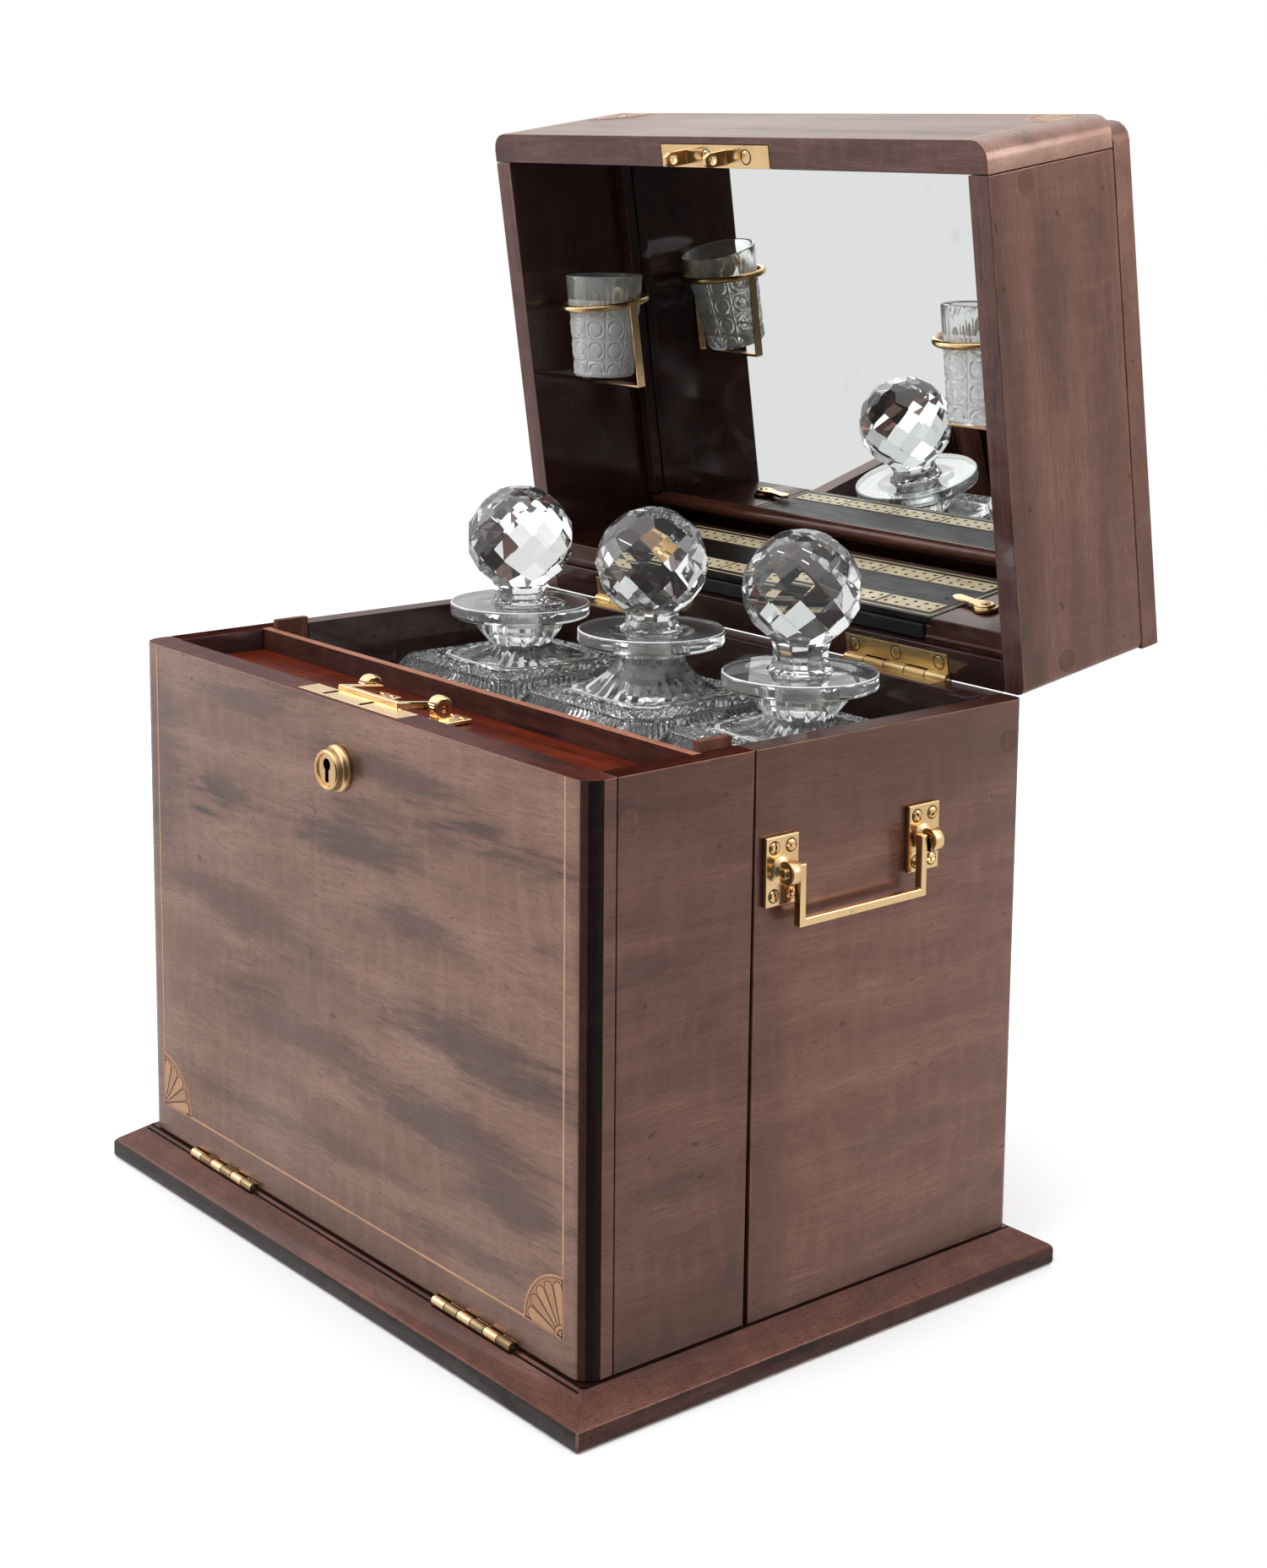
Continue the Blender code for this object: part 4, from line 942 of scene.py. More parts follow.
# painted shade: the top faces of the fall-front and its cheeks are painted dark, with little gloss, for the shade that
# lies on them
MAT_RIM_FRONT_SHADE = wood("front_rim_painted_shade", **dict(RIM, dark=(0.030, 0.0050, 0.0032), mid=(0.080, 0.0145, 0.0095), light=(0.135, 0.030, 0.020), streak=(0.012, 0.004, 0.003), fibre_gloss=0.0, specular=0.02, coat=0.12, seed=3.7))
MAT_RIM_CHEEK_SHADE = wood("cheek_rim_painted_shade", grain="Y", **dict(RIM, dark=(0.016, 0.0034, 0.0024), mid=(0.042, 0.0090, 0.0060), light=(0.085, 0.023, 0.015), streak=(0.008, 0.003, 0.003), fibre_gloss=0.0, specular=0.0, coat=0.0, seed=5.1))
dress("front_board", [shell_wood("front_wood", "front_board", tilt=0.05, seed=0.6, streak_amount=0.90, patches=FRONT_PATCHES, shades=FRONT_PAINTED_SHADE, marks=0.45, **BROWN), MAT_DARK_X, MAT_RIM_FRONT_SHADE, MAT_CORNER_HALF_SHADE, MAT_CORNER_SHADE, MAT_FRONT_SIDE], bevel=0.0004, pick=front_pick)
for side, s in (("left", -1), ("right", 1)):
    seed = 1.1 if s > 0 else 5.2
    dress(f"carcass_{side}", [shell_wood(f"carcass_{side}_wood", f"carcass_{side}", grain="Y", seed=seed, streak_amount=0.45, shades=CASE_PAINTED_SHADE, patches=CASE_PATCHES, marks=0.4), MAT_DARK_Y, MAT_RIM_Y], bevel=0.0005, pick=faces_of((-s, 0, 0), (0, 0, 1)))
    dress(f"cheek_{side}", [shell_wood(f"cheek_{side}_wood", f"cheek_{side}", grain="Y", seed=seed, streak_amount=0.5, tone=0.78, shades=CHEEK_PAINTED_SHADE, patches=CHEEK_PATCHES, marks=0.5, hidden=((1, -1),)), MAT_DARK_Y, MAT_RIM_CHEEK_SHADE], bevel=0.0004, pick=faces_of((-s, 0, 0), (0, 0, 1)))
    dress(f"tongue_{side}", MAT_TONGUE, bevel=0.0003)
dress("carcass_back", [shell_wood("back_wood", "carcass_back", seed=7.5, streak_amount=0.5), MAT_DARK_X, MAT_RIM_X], bevel=0.0004, pick=faces_of((0, -1, 0), (0, 0, 1)))
for n in ("well_floor", "decanter_rack", "foot_board", "drawer_tray"):
    dress(n, MAT_DARK_X, bevel=0.0003)
dress("inner_panel", [MAT_PANEL, MAT_DARK_X, MAT_BARE], bevel=0.0003, pick=faces_of((0, 1, 0), (0, 0, 1)))
dress("drawer_front", MAT_RED, bevel=0.0004)

dress("lid_front", [shell_wood("lid_front_wood", "lid_front", M_LID, seed=9.1, streak_amount=0.7, marks=0.6, **BROWN), MAT_DARK_X, MAT_LID_RIM_X], M_LID, pick=faces_of((0, 1, 0), (0, 0, -1)))
dress("lid_top", shell_wood("lid_top_wood", "lid_top", M_LID, seed=3.4, streak_amount=0.9, marks=0.5, tone=0.85), M_LID, bevel=0.0008, segments=3)
LID_PATCHES = [((0, ya(0.222), za(0.010)), (0, 0.010, 0.006), 0.9), ((0, ya(0.205), za(0.004)), (0, 0.008, 0.004), 0.8)]
# painted shade on the lid sides: darker toward the lid's rim
LID_PAINTED_SHADE = [((0, ya(0.120), za(-0.004)), (0, 0.5, 0.022), 0.35)]
for side, s in (("left", -1), ("right", 1)):
    dress(f"lid_{side}", [shell_wood(f"lid_{side}_wood", f"lid_{side}", M_LID, grain="Y", seed=2.7 if s > 0 else 6.1, streak_amount=0.35, patches=LID_PATCHES, shades=LID_PAINTED_SHADE, marks=0.6, tone=0.90), MAT_DARK_Y, MAT_LID_RIM_Y], M_LID, bevel=0.0005, pick=faces_of((-s, 0, 0), (0, 0, -1)))
dress("lid_back", [shell_wood("lid_back_wood", "lid_back", M_LID, seed=8.2, streak_amount=0.5), MAT_DARK_X, MAT_DARK_X], M_LID, pick=faces_of((0, -1, 0), (0, 0, -1)))
dress("mirror", MAT_MIRROR, M_LID, bevel=None)
dress("mirror_bead", MAT_DARK_X, M_LID, bevel=0.0006)
dress("mirror_moulding", MAT_MOULD, M_LID, bevel=0.0004)
# ---------------------------------------------------------------- stringing and quarter fans
INLAY = 0.00006
ZS = ZB + 0.0148
XS = 0.1520


def add_strip(bm, points, width, lo, hi, material=0, matrix=ONE, plane="XZ"):
    """A thin flat band along a line of points."""
    left, right_ = [], []
    for i, (u, v) in enumerate(points):
        a = points[max(i - 1, 0)]
        b = points[min(i + 1, len(points) - 1)]
        d = Vector((b[0] - a[0], b[1] - a[1])).normalized() * (width / 2)
        left.append((u - d.y, v + d.x))
        right_.append((u + d.y, v - d.x))
    add_prism(bm, left + right_[::-1], plane, lo, hi, material, matrix)


def fan(name, corner, sx, sz, y, body, matrix=ONE, radius=0.0245):
    """A quarter fan of five round-ended petals, outlined dark, with a light border."""
    bm = bmesh.new()

    def at(r, deg):
        a = math.radians(deg)
        return (corner[0] + sx * r * math.cos(a), corner[1] + sz * r * math.sin(a))

    add_prism(bm, [corner] + [at(radius, 90 * i / 24) for i in range(25)], "XZ", y - INLAY, y, 0)
    for k in range(5):
        a0, a1 = 18 * k, 18 * (k + 1)
        mid = (a0 + a1) / 2
        reach = radius * 0.775
        petal = [at(radius * 0.20, a0 + 1.2), at(reach, a0 + 0.9)]
        for j in range(1, 8):
            w = math.radians(180 * j / 8)
            petal.append(at(reach + radius * 0.125 * math.sin(w), mid - 8.1 * math.cos(w)))
        petal += [at(reach, a1 - 0.9), at(radius * 0.20, a1 - 1.2)]
        add_prism(bm, petal, "XZ", y - INLAY * 1.7, y - INLAY, 1 + k % 2)
        line = petal[:]
        if k == 0:
            line = petal[1:]
        if k == 4:
            line = petal[:-1]
        add_strip(bm, line, 0.00038, y - INLAY * 2.2, y - INLAY * 1.7, 3)
    add_strip(bm, [at(radius * 0.175, 90 * i / 10) for i in range(11)], 0.0007, y - INLAY * 2.0, y - INLAY, 4)
    add_strip(bm, [at(radius * 0.215, 90 * i / 10) for i in range(11)], 0.0003, y - INLAY * 2.0, y - INLAY, 3)
    add_strip(bm, [at(radius * 0.13, 90 * i / 10) for i in range(11)], 0.0004, y - INLAY * 2.0, y - INLAY, 3)
    add_strip(bm, [at(radius * 0.985, 90 * i / 24) for i in range(25)], 0.0007, y - INLAY * 2.0, y - INLAY, 4)
    add_strip(bm, [at(radius * 0.945, 90 * i / 24) for i in range(25)], 0.00022, y - INLAY * 2.0, y - INLAY, 3)
    return piece(name, bm, [MAT_FAN, MAT_PETAL_A, MAT_PETAL_B, MAT_FAN_LINE, MAT_STRING], body, matrix)


MAT_FAN = wood("fan_ground", dark=(0.36, 0.17, 0.085), mid=(0.46, 0.235, 0.125), light=(0.52, 0.28, 0.15), streak=(0.40, 0.18, 0.09), rough=0.45, coat=0.5, coat_rough=0.25, pores=0.6, streak_amount=0.3)
MAT_PETAL_A = wood("fan_petal_light", dark=(0.46, 0.24, 0.12), mid=(0.60, 0.34, 0.18), light=(0.66, 0.39, 0.21), streak=(0.45, 0.22, 0.11), grain="Z", rough=0.45, coat=0.5, coat_rough=0.25, pores=0.5, streak_amount=0.4)
MAT_PETAL_B = wood("fan_petal_dark", dark=(0.40, 0.20, 0.10), mid=(0.53, 0.29, 0.155), light=(0.61, 0.35, 0.19), streak=(0.38, 0.18, 0.09), grain="Z", seed=1.3, rough=0.45, coat=0.5, coat_rough=0.25, pores=0.5, streak_amount=0.4)
MAT_FAN_LINE = wood("fan_outline", dark=(0.07, 0.025, 0.013), mid=(0.12, 0.045, 0.022), light=(0.17, 0.065, 0.032), streak=(0.06, 0.02, 0.01), rough=0.45, coat=0.5)
MAT_STRING = wood("stringing", dark=(0.44, 0.22, 0.12), mid=(0.62, 0.33, 0.19), light=(0.72, 0.41, 0.25), streak=(0.33, 0.15, 0.09), figure=3.0, rough=0.42, coat=0.6, coat_rough=0.25, pores=0.4, streak_amount=0.5)

for s, side in ((-1, "left"), (1, "right")):
    fan(f"fan_front_{side}", (s * XS, ZS), -s, 1, Y0, "fall_front")
    bm = bmesh.new()
    add_prism(bm, [(s * XS - 0.00055, ZS - 0.00055), (s * XS + 0.00055, ZS - 0.00055), (s * XS + 0.00055, ZR - 0.0002), (s * XS - 0.00055, ZR - 0.0002)], "XZ", Y0 - INLAY, Y0)
    piece(f"stringing_front_{side}", bm, MAT_STRING, "fall_front")
    fan(f"fan_lid_{side}", (s * XS, za(0.0748)), -s, -1, Y0, "lid", M_LID)
    bm = bmesh.new()
    add_prism(bm, [(s * XS - 0.00055, za(0.0005)), (s * XS + 0.00055, za(0.0005)), (s * XS + 0.00055, za(0.0753)), (s * XS - 0.00055, za(0.0753))], "XZ", Y0 - INLAY, Y0)
    piece(f"stringing_lid_{side}", bm, MAT_STRING, "lid", M_LID)
bm = bmesh.new()
add_prism(bm, [(-XS, ZS - 0.00055), (XS, ZS - 0.00055), (XS, ZS + 0.00055), (-XS, ZS + 0.00055)], "XZ", Y0 - INLAY, Y0)
piece("stringing_front_foot", bm, MAT_STRING, "fall_front")
bm = bmesh.new()
add_prism(bm, [(-XS, za(0.0744)), (XS, za(0.0744)), (XS, za(0.0753)), (-XS, za(0.0753))], "XZ", Y0 - INLAY, Y0)
piece("stringing_lid_top", bm, MAT_STRING, "lid", M_LID)

# round plugs over the screws that hold the boards together
MAT_PLUG = wood("plug", dark=(0.090, 0.038, 0.027), mid=(0.150, 0.068, 0.049), light=(0.205, 0.099, 0.072), streak=GREY, grain="Z", rough=0.40, figure=2.0)
# dark joint lines round the plugs, and painted shade on the walls of the holes in the games board strips and in its peg
# holes
MAT_JOINT_AND_HOLE_SHADE, t, bsdf = blank("joint_and_painted_hole_shade", Roughness=0.7)
co = t.node("ShaderNodeTexCoord").outputs["Object"]
t.link(t.mix(t.noise(co, 900.0, 2.0), (0.006, 0.003, 0.003), (0.030, 0.012, 0.009)), bsdf.inputs["Base Color"])


def plug(name, x, d, z, body, matrix=ONE):
    s = 1 if x > 0 else -1
    bm = bmesh.new()
    m = Matrix.Translation((x, ya(d), z)) @ Matrix.Rotation(s * math.pi / 2, 4, "Y")
    add_lathe(bm, [(0, 0.00003), (0.0046, 0.00003), (0.0046, 0), (0, 0)], 28, m, material=0)
    add_lathe(bm, [(0.00460, 0.00004), (0.00473, 0.00004), (0.00473, 0), (0.00460, 0)], 36, m, closed=True, material=1)
    piece(name, bm, [MAT_PLUG, MAT_JOINT_AND_HOLE_SHADE], body, matrix)


for s, side in ((-1, "left"), (1, "right")):
    plug(f"plug_fall_{side}", s * HALF, 0.0197, ZB + 0.217, "fall_front")
    plug(f"plug_case_{side}", s * HALF, 0.2250, ZB + 0.217, "case")
    plug(f"plug_lid_front_{side}", s * HALF, 0.0200, za(0.0224), "lid", M_LID)
    plug(f"plug_lid_back_{side}", s * HALF, 0.2250, za(0.0280), "lid", M_LID)

# ---------------------------------------------------------------- brass on the fall-front
KEY_Z = za(-0.0275)


def keyhole(r, w, top, foot, steps=16):
    a0 = math.asin(w / r)
    pts = []
    for i in range(steps + 1):
        a = -math.pi / 2 + a0 + (2 * math.pi - 2 * a0) * i / steps
        pts.append((r * math.cos(a), top + r * math.sin(a)))
    return [(w, foot)] + pts + [(-w, foot)]


def holed_plate(bm, outer, holes, place_at, depth, material=0, wall=None, skirt=True):
    """A flat face with holes, its edge and the walls of the holes. place_at(u, v, w) gives the point."""
    loops = []
    edges = []
    for pts in [outer] + holes:
        vs = [bm.verts.new(place_at(u, v, 0)) for u, v in pts]
        loops.append(vs)
        for a, b in zip(vs, vs[1:] + vs[:1]):
            edges.append(bm.edges.new((a, b)))
    made = bmesh.ops.triangle_fill(bm, use_beauty=True, use_dissolve=False, edges=edges)["geom"]
    for f in made:
        if isinstance(f, bmesh.types.BMFace):
            f.material_index = material
    for i, (vs, pts) in enumerate(zip(loops, [outer] + holes)):
        if i == 0 and not skirt:
            continue
        low = [bm.verts.new(place_at(u, v, -depth)) for u, v in pts]
        n = len(vs)
        for k in range(n):
            f = bm.faces.new((vs[k], vs[(k + 1) % n], low[(k + 1) % n], low[k]))
            f.material_index = material if (i == 0 or wall is None) else wall


def round_outline(r, steps, u=0.0, v=0.0):
    return [
        (u + r * math.cos(2 * math.pi * i / steps), v + r * math.sin(2 * math.pi * i / steps))
        for i in range(steps)
    ]


bm = bmesh.new()
m = Matrix.Translation((0, Y0, KEY_Z)) @ Matrix.Rotation(math.pi / 2, 4, "X")
add_lathe(
    bm,
    [
        (0.0066, 0.0060),
        (0.00668, 0.0057),
        (0.00678, 0.0060),
        (0.0069, 0.0067),
        (0.0073, 0.0069),
        (0.0080, 0.0069),
        (0.0084, 0.0066),
        (0.0086, 0.0060),
        (0.0086, 0.0040),
        (0.0088, 0.0032),
        (0.0093, 0.0025),
        (0.0098, 0.0022),
        (0.0100, 0.0018),
        (0.0100, G),
    ],
    64,
    m,
)
holed_plate(
    bm,
    round_outline(0.0066, 64),
    [keyhole(0.0027, 0.00135, 0.0023, -0.0052)],
    lambda u, v, w: m @ Vector((u, v, 0.0060 + w)),
    0.0054,
    wall=1,
    skirt=False,
)
add_lathe(bm, [(0, 0.0007), (0.0066, 0.0007)], 32, m, material=1)
bmesh.ops.remove_doubles(bm, verts=bm.verts, dist=1e-6)
o = piece("escutcheon_turned", bm, [MAT_BRASS, MAT_BRASS_DARK], "fall_front", smooth=35)
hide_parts("escutcheon")

dress("box_lock", MAT_BRASS, bevel=0.00015)
dress("lock_bolt", MAT_BRASS_DULL, bevel=0.0002)

# front hinges: bright knuckles on the moving leaf, dull ones on the fixed leaf
for side in ("left", "right"):
    dress(f"front_hinge_upper_{side}", MAT_BRASS, bevel=0.0003)
    dress(f"front_hinge_lower_{side}", MAT_BRASS_DULL, bevel=0.0003)

# ---------------------------------------------------------------- drawer handle
BX, BD, BH = -0.0010, 0.0335, -0.0020
for side, s in (("left", -1), ("right", 1)):
    x = BX + s * 0.0258
    bm = bmesh.new()
    add_box(bm, (x - 0.0062, x + 0.0062), (ya(BD - 0.0118), ya(BD + 0.0118)), (za(-0.0092), za(-0.0073)))
    add_box(bm, (x - 0.0027, x + 0.0027), (ya(BD - 0.0030), ya(BD + 0.0030)), (za(-0.0080), za(-0.0042)))
    o = piece(f"drawer_plate_{side}_base", bm, [MAT_BRASS], "drawer", smooth=40, bevel=0.0004, segments=2)
    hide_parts(f"drawer_plate_{side}")
    bm = bmesh.new()
    m = Matrix.Translation((x, ya(BD), za(BH))) @ TURN["X"]
    rim = []
    n = 56
    prof = [(0.0018, -0.0031), (0.0018, 0.0031), (0.0040, 0.0031), (0.0044, 0.0029), (0.0046, 0.0026), (0.0050, 0.0023), (0.0050, -0.0023), (0.0046, -0.0026), (0.0044, -0.0029), (0.0040, -0.0031)]
    rings = add_lathe(bm, prof, n, m, closed=True)
    axis = Vector((1, 0, 0))
    c = Vector((x, ya(BD), za(BH)))
    for ring in rings[5:7]:
        for k in range(0, n, 2):
            v = ring[k]
            off = v.co - c
            radial = off - axis * off.dot(axis)
            v.co -= radial.normalized() * 0.00022
    piece(f"drawer_boss_{side}", bm, [MAT_BRASS], "drawer", smooth=25)
    bm = bmesh.new()
    for i, (u, v) in enumerate(((-0.0034, 0.0082), (0.0034, 0.0082), (-0.0034, -0.0086), (0.0034, -0.0086))):
        add_screw(bm, (x + u, ya(BD + v), za(-0.0073)), (0, 0, 1), 0.0017, turn=0.5 + i * 0.9, dome=0.5)
    piece(f"drawer_plate_screws_{side}", bm, [MAT_BRASS, MAT_BRASS_DARK], "drawer", smooth=35)
dress("drawer_bail", MAT_BRASS, bevel=0.0005, segments=2)

# ---------------------------------------------------------------- side handles
PIVOT_H = -0.0493
for side, s in (("right", 1), ("left", -1)):
    for where, d, e in (("front", 0.0950, -1), ("rear", 0.1732, 1)):
        xs = sorted((s * (HALF + G), s * (HALF + 0.0023)))
        bm = bmesh.new()
        add_box(bm, xs, (ya(d - 0.0087), ya(d + 0.0087)), (za(PIVOT_H - 0.0140), za(PIVOT_H + 0.0140)))
        o = piece(f"handle_plate_{side}_{where}_cast", bm, [MAT_BRASS], "case", smooth=40, bevel=0.0005, segments=2)
        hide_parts(f"handle_plate_{side}_{where}")
        bm = bmesh.new()
        px = s * (HALF + 0.0066)
        m = Matrix.Translation((px, ya(d), za(PIVOT_H))) @ TURN["Y"]
        add_lathe(bm, [(0.0019, -0.0026), (0.0019, 0.0026), (0.0030, 0.0026), (0.0043, 0.0026), (0.0048, 0.0023), (0.0050, 0.0018), (0.0050, -0.0018), (0.0048, -0.0023), (0.0043, -0.0026), (0.0030, -0.0026)], 48, m, closed=True)
        neck = Matrix.Translation((s * (HALF + 0.0023), ya(d), za(PIVOT_H))) @ Matrix.Rotation(s * math.pi / 2, 4, "Y")
        add_lathe(bm, [(0.0060, -0.0001), (0.0058, 0.0002), (0.0048, 0.0006), (0.0038, 0.0012), (0.0031, 0.0020), (0.0029, 0.0028), (0, 0.0028)], 32, neck)
        # rounded end of the pin, proud of the boss on its outer side
        end = Matrix.Translation((px, ya(d) + e * 0.0024, za(PIVOT_H))) @ (TURN["-Y"] if e > 0 else TURN["Y"])
        add_lathe(bm, [(0.0023, 0), (0.0023, 0.0010), (0.0020, 0.0014), (0.0012, 0.0017), (0, 0.0018)], 24, end)
        piece(f"handle_boss_{side}_{where}", bm, [MAT_BRASS], "case", smooth=35)
        bm = bmesh.new()
        for u, v in ((-0.0044, 0.0096), (0.0044, 0.0096), (-0.0044, -0.0096), (0.0044, -0.0096)):
            sink = Matrix.Translation((s * (HALF + 0.0023), ya(d + u), za(PIVOT_H + v))) @ Matrix.Rotation(s * math.pi / 2, 4, "Y")
            add_lathe(bm, [(0.0029, 0.00005), (0.0029, 0.0), (0.0024, -0.0001), (0.0024, 0.00005)], 28, sink, closed=True, material=1)
        for i, (u, v) in enumerate(((-0.0044, 0.0096), (0.0044, 0.0096), (-0.0044, -0.0096), (0.0044, -0.0096))):
            add_screw(bm, (s * (HALF + 0.0023), ya(d + u), za(PIVOT_H + v)), (s, 0, 0), 0.0025, turn=(0.7, 2.2, 0.9, 1.6)[i] + d * 9, dome=0.45, slot=0.22)
        piece(f"handle_screws_{side}_{where}", bm, [MAT_BRASS, MAT_BRASS_DARK], "case", smooth=35)
    dress(f"bail_{side}", MAT_BRASS, bevel=0.0007, segments=2)

# ---------------------------------------------------------------- lid hinges and strike plate
for side, s in (("left", -1), ("right", 1)):
    dress(f"lid_hinge_upper_{side}", MAT_BRASS_AGED, M_LID, bevel=0.0002)
    dress(f"lid_hinge_lower_{side}", MAT_BRASS_AGED, bevel=0.0002)
    bm = bmesh.new()
    for i, u in enumerate((-0.0258, 0.0, 0.0262)):
        add_lathe(bm, [(0.0034, 0.00005), (0.0029, 0.00007), (0.0028, -0.0001), (0, -0.0001)], 28, Matrix.Translation((s * 0.090 + u, ya(0.2264), za(0.0004))) @ Matrix.Rotation(math.pi, 4, "X"), material=1)
        add_screw(bm, (s * 0.090 + u, ya(0.2264), za(0.00045)), (0, 0, -1), 0.0028, turn=(0.9, 1.9, 0.4)[i], dome=0.12, slot=0.20)
    piece(f"lid_hinge_screws_{side}", bm, [MAT_BRASS_AGED, MAT_BRASS_DARK], "lid", M_LID, smooth=35)
    bm = bmesh.new()
    for i, u in enumerate((-0.0258, 0.0, 0.0262)):
        add_screw(bm, (s * 0.090 + u, ya(0.2264), za(-0.00012)), (0, 0, 1), 0.0024, turn=(0.5, 1.2, 2.4)[i], dome=0.05, slot=0.14)
    piece(f"lid_hinge_case_screws_{side}", bm, [MAT_BRASS_AGED, MAT_BRASS_DARK], "case", smooth=35)
dress("strike_plate", MAT_BRASS, M_LID, bevel=0.00025)
bm = bmesh.new()
for i, x in enumerate((-0.0052, 0.0212)):
    add_lathe(bm, [(0.0035, 0.00005), (0.0030, 0.00007), (0.0029, -0.0001), (0, -0.0001)], 28, Matrix.Translation((x, ya(0.0089), za(G))) @ Matrix.Rotation(math.pi, 4, "X"), material=1)
    add_screw(bm, (x, ya(0.0089), za(G + 0.00005)), (0, 0, -1), 0.0029, turn=(1.2, 0.5)[i], dome=0.12, slot=0.20)
piece("strike_plate_screws", bm, [MAT_BRASS, MAT_BRASS_DARK], "lid", M_LID, smooth=35)

# ---------------------------------------------------------------- tumbler holders
for k, (side, s) in enumerate((("left", -1), ("right", 1))):
    d, h = ((0.0880, 0.0320), (0.0870, 0.0280))[k]
    strap_d = (0.1294, 0.1268)[k]
    bm = bmesh.new()
    add_lathe(
        bm,
        [(0.0211 + 0.0017 * math.cos(2 * math.pi * i / 16), 0.0017 * math.sin(2 * math.pi * i / 16)) for i in range(16)],
        72,
        Matrix.Translation((s * 0.131, ya(d), za(h))) @ Matrix.Rotation(math.pi / 2, 4, "X"),
        closed=True,
    )
    o = piece(f"tumbler_ring_{side}", bm, [MAT_BRASS], "lid", M_LID, smooth=60)
    bm = bmesh.new()
    strap_x, wall = 0.1085, IN_X - G
    add_prism(
        bm,
        [
            (s * (strap_x - 0.0006), ya(d - 0.0012)),
            (s * (strap_x + 0.0006), ya(d - 0.0012)),
            (s * (strap_x + 0.0006), ya(strap_d - 0.0006)),
            (s * (wall - 0.0012), ya(strap_d - 0.0006)),
            (s * (wall - 0.0012), ya(d - 0.0060)),
            (s * wall, ya(d - 0.0060)),
            (s * wall, ya(strap_d + 0.0006)),
            (s * (strap_x - 0.0006), ya(strap_d + 0.0006)),
        ],
        "XY",
        za(h - 0.0022),
        za(h + 0.0022),
    )
    q = piece(f"tumbler_strap_{side}", bm, [MAT_BRASS], "lid", M_LID, smooth=40, bevel=0.0003)
    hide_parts(f"tumbler_holder_{side}")
    dress(f"turn_latch_{side}", MAT_BRASS, M_LID, bevel=0.0006, segments=3)
    bm = bmesh.new()
    add_screw(bm, (s * 0.1245, ya(0.2046), za(0.0235)), (0, -1, 0), 0.0022, turn=0.8, dome=0.3)
    piece(f"turn_latch_screw_{side}", bm, [MAT_BRASS, MAT_BRASS_DARK], f"{side}_latch", M_LID, smooth=35)

# ---------------------------------------------------------------- games board
MAT_EBONY, t, bsdf = blank("ebonised_board", Roughness=0.45, Specular_IOR_Level=0.12)
co = t.node("ShaderNodeTexCoord").outputs["Object"]
smudge = t.noise(co, 60.0, 4.0, 0.6)
scuff = t.noise(t.scaled(co, (60, 1800, 1800)), 1.0, 3.0, 0.6)
t.link(t.mix(t.ramp(smudge, 0.45, 0.75), (0.0085, 0.0070, 0.0065), (0.022, 0.018, 0.016)), bsdf.inputs["Base Color"])
t.link(t.ramp(scuff, 0.4, 0.7, 0.36, 0.52), bsdf.inputs["Roughness"])
t.link(t.bump(scuff, 0.08, 0.0001), bsdf.inputs["Normal"])
MAT_IVORY, t, bsdf = blank("ivory_strip", Roughness=0.45, Specular_IOR_Level=0.2)
co = t.node("ShaderNodeTexCoord").outputs["Object"]
grain = t.noise(t.scaled(co, (40, 300, 300)), 1.0, 3.0, 0.5)
stain = t.noise(co, 90.0, 4.0, 0.6)
col = t.mix(t.ramp(grain, 0.3, 0.7), (0.80, 0.68, 0.46), (0.68, 0.54, 0.33))
col = t.mix(t.math("MULTIPLY", t.ramp(stain, 0.55, 0.8), 0.5), col, (0.42, 0.28, 0.14))
t.link(col, bsdf.inputs["Base Color"])
t.link(t.ramp(stain, 0.3, 0.8, 0.30, 0.50), bsdf.inputs["Roughness"])
dress("games_board", MAT_EBONY, M_LID, bevel=0.00035)
YT = ya(0.2080)


def board_at(u, v, w):
    return Vector((u, YT - 0.00028 + (-w), za(v)))


for row, (h0, h1) in (("front", (0.0094, 0.0204)), ("rear", (0.0442, 0.0552))):
    bm = bmesh.new()
    for k in range(6):
        x0 = -0.1050 + 0.0350 * k + 0.00065
        x1 = x0 + 0.0337
        holes = []
        for i in range(5):
            for v in (h0 + 0.0029, h1 - 0.0029):
                holes.append(round_outline(0.00105, 10, x0 + 0.00337 + 0.00674 * i, v))
        holed_plate(bm, [(x0, h0), (x1, h0), (x1, h1), (x0, h1)], holes, board_at, 0.00028, wall=1)
    piece(f"games_board_strips_{row}", bm, [MAT_IVORY, MAT_JOINT_AND_HOLE_SHADE], "games_board", M_LID)
bm = bmesh.new()
a, b, c, d = -0.1082, 0.1082, 0.0056, 0.0590
w = 0.00075
for u0, u1, v0, v1 in ((a, b, c, c + w), (a, b, d - w, d), (a, a + w, c, d), (b - w, b, c, d)):
    add_prism(bm, [(u0, za(v0)), (u1, za(v0)), (u1, za(v1)), (u0, za(v1))], "XZ", YT - 0.00012, YT)
piece("games_board_border", bm, [MAT_IVORY], "games_board", M_LID)
# painted shade: flat dark discs stand for the peg holes
bm = bmesh.new()
for s in (-1, 1):
    for v in (0.0285, 0.0361):
        add_lathe(bm, [(0, 0.00005), (0.0010, 0.00005), (0.0010, 0)], 14, Matrix.Translation((s * 0.0960, YT, za(v))) @ TURN["Y"])
piece("games_board_peg_holes", bm, [MAT_JOINT_AND_HOLE_SHADE], "games_board", M_LID)

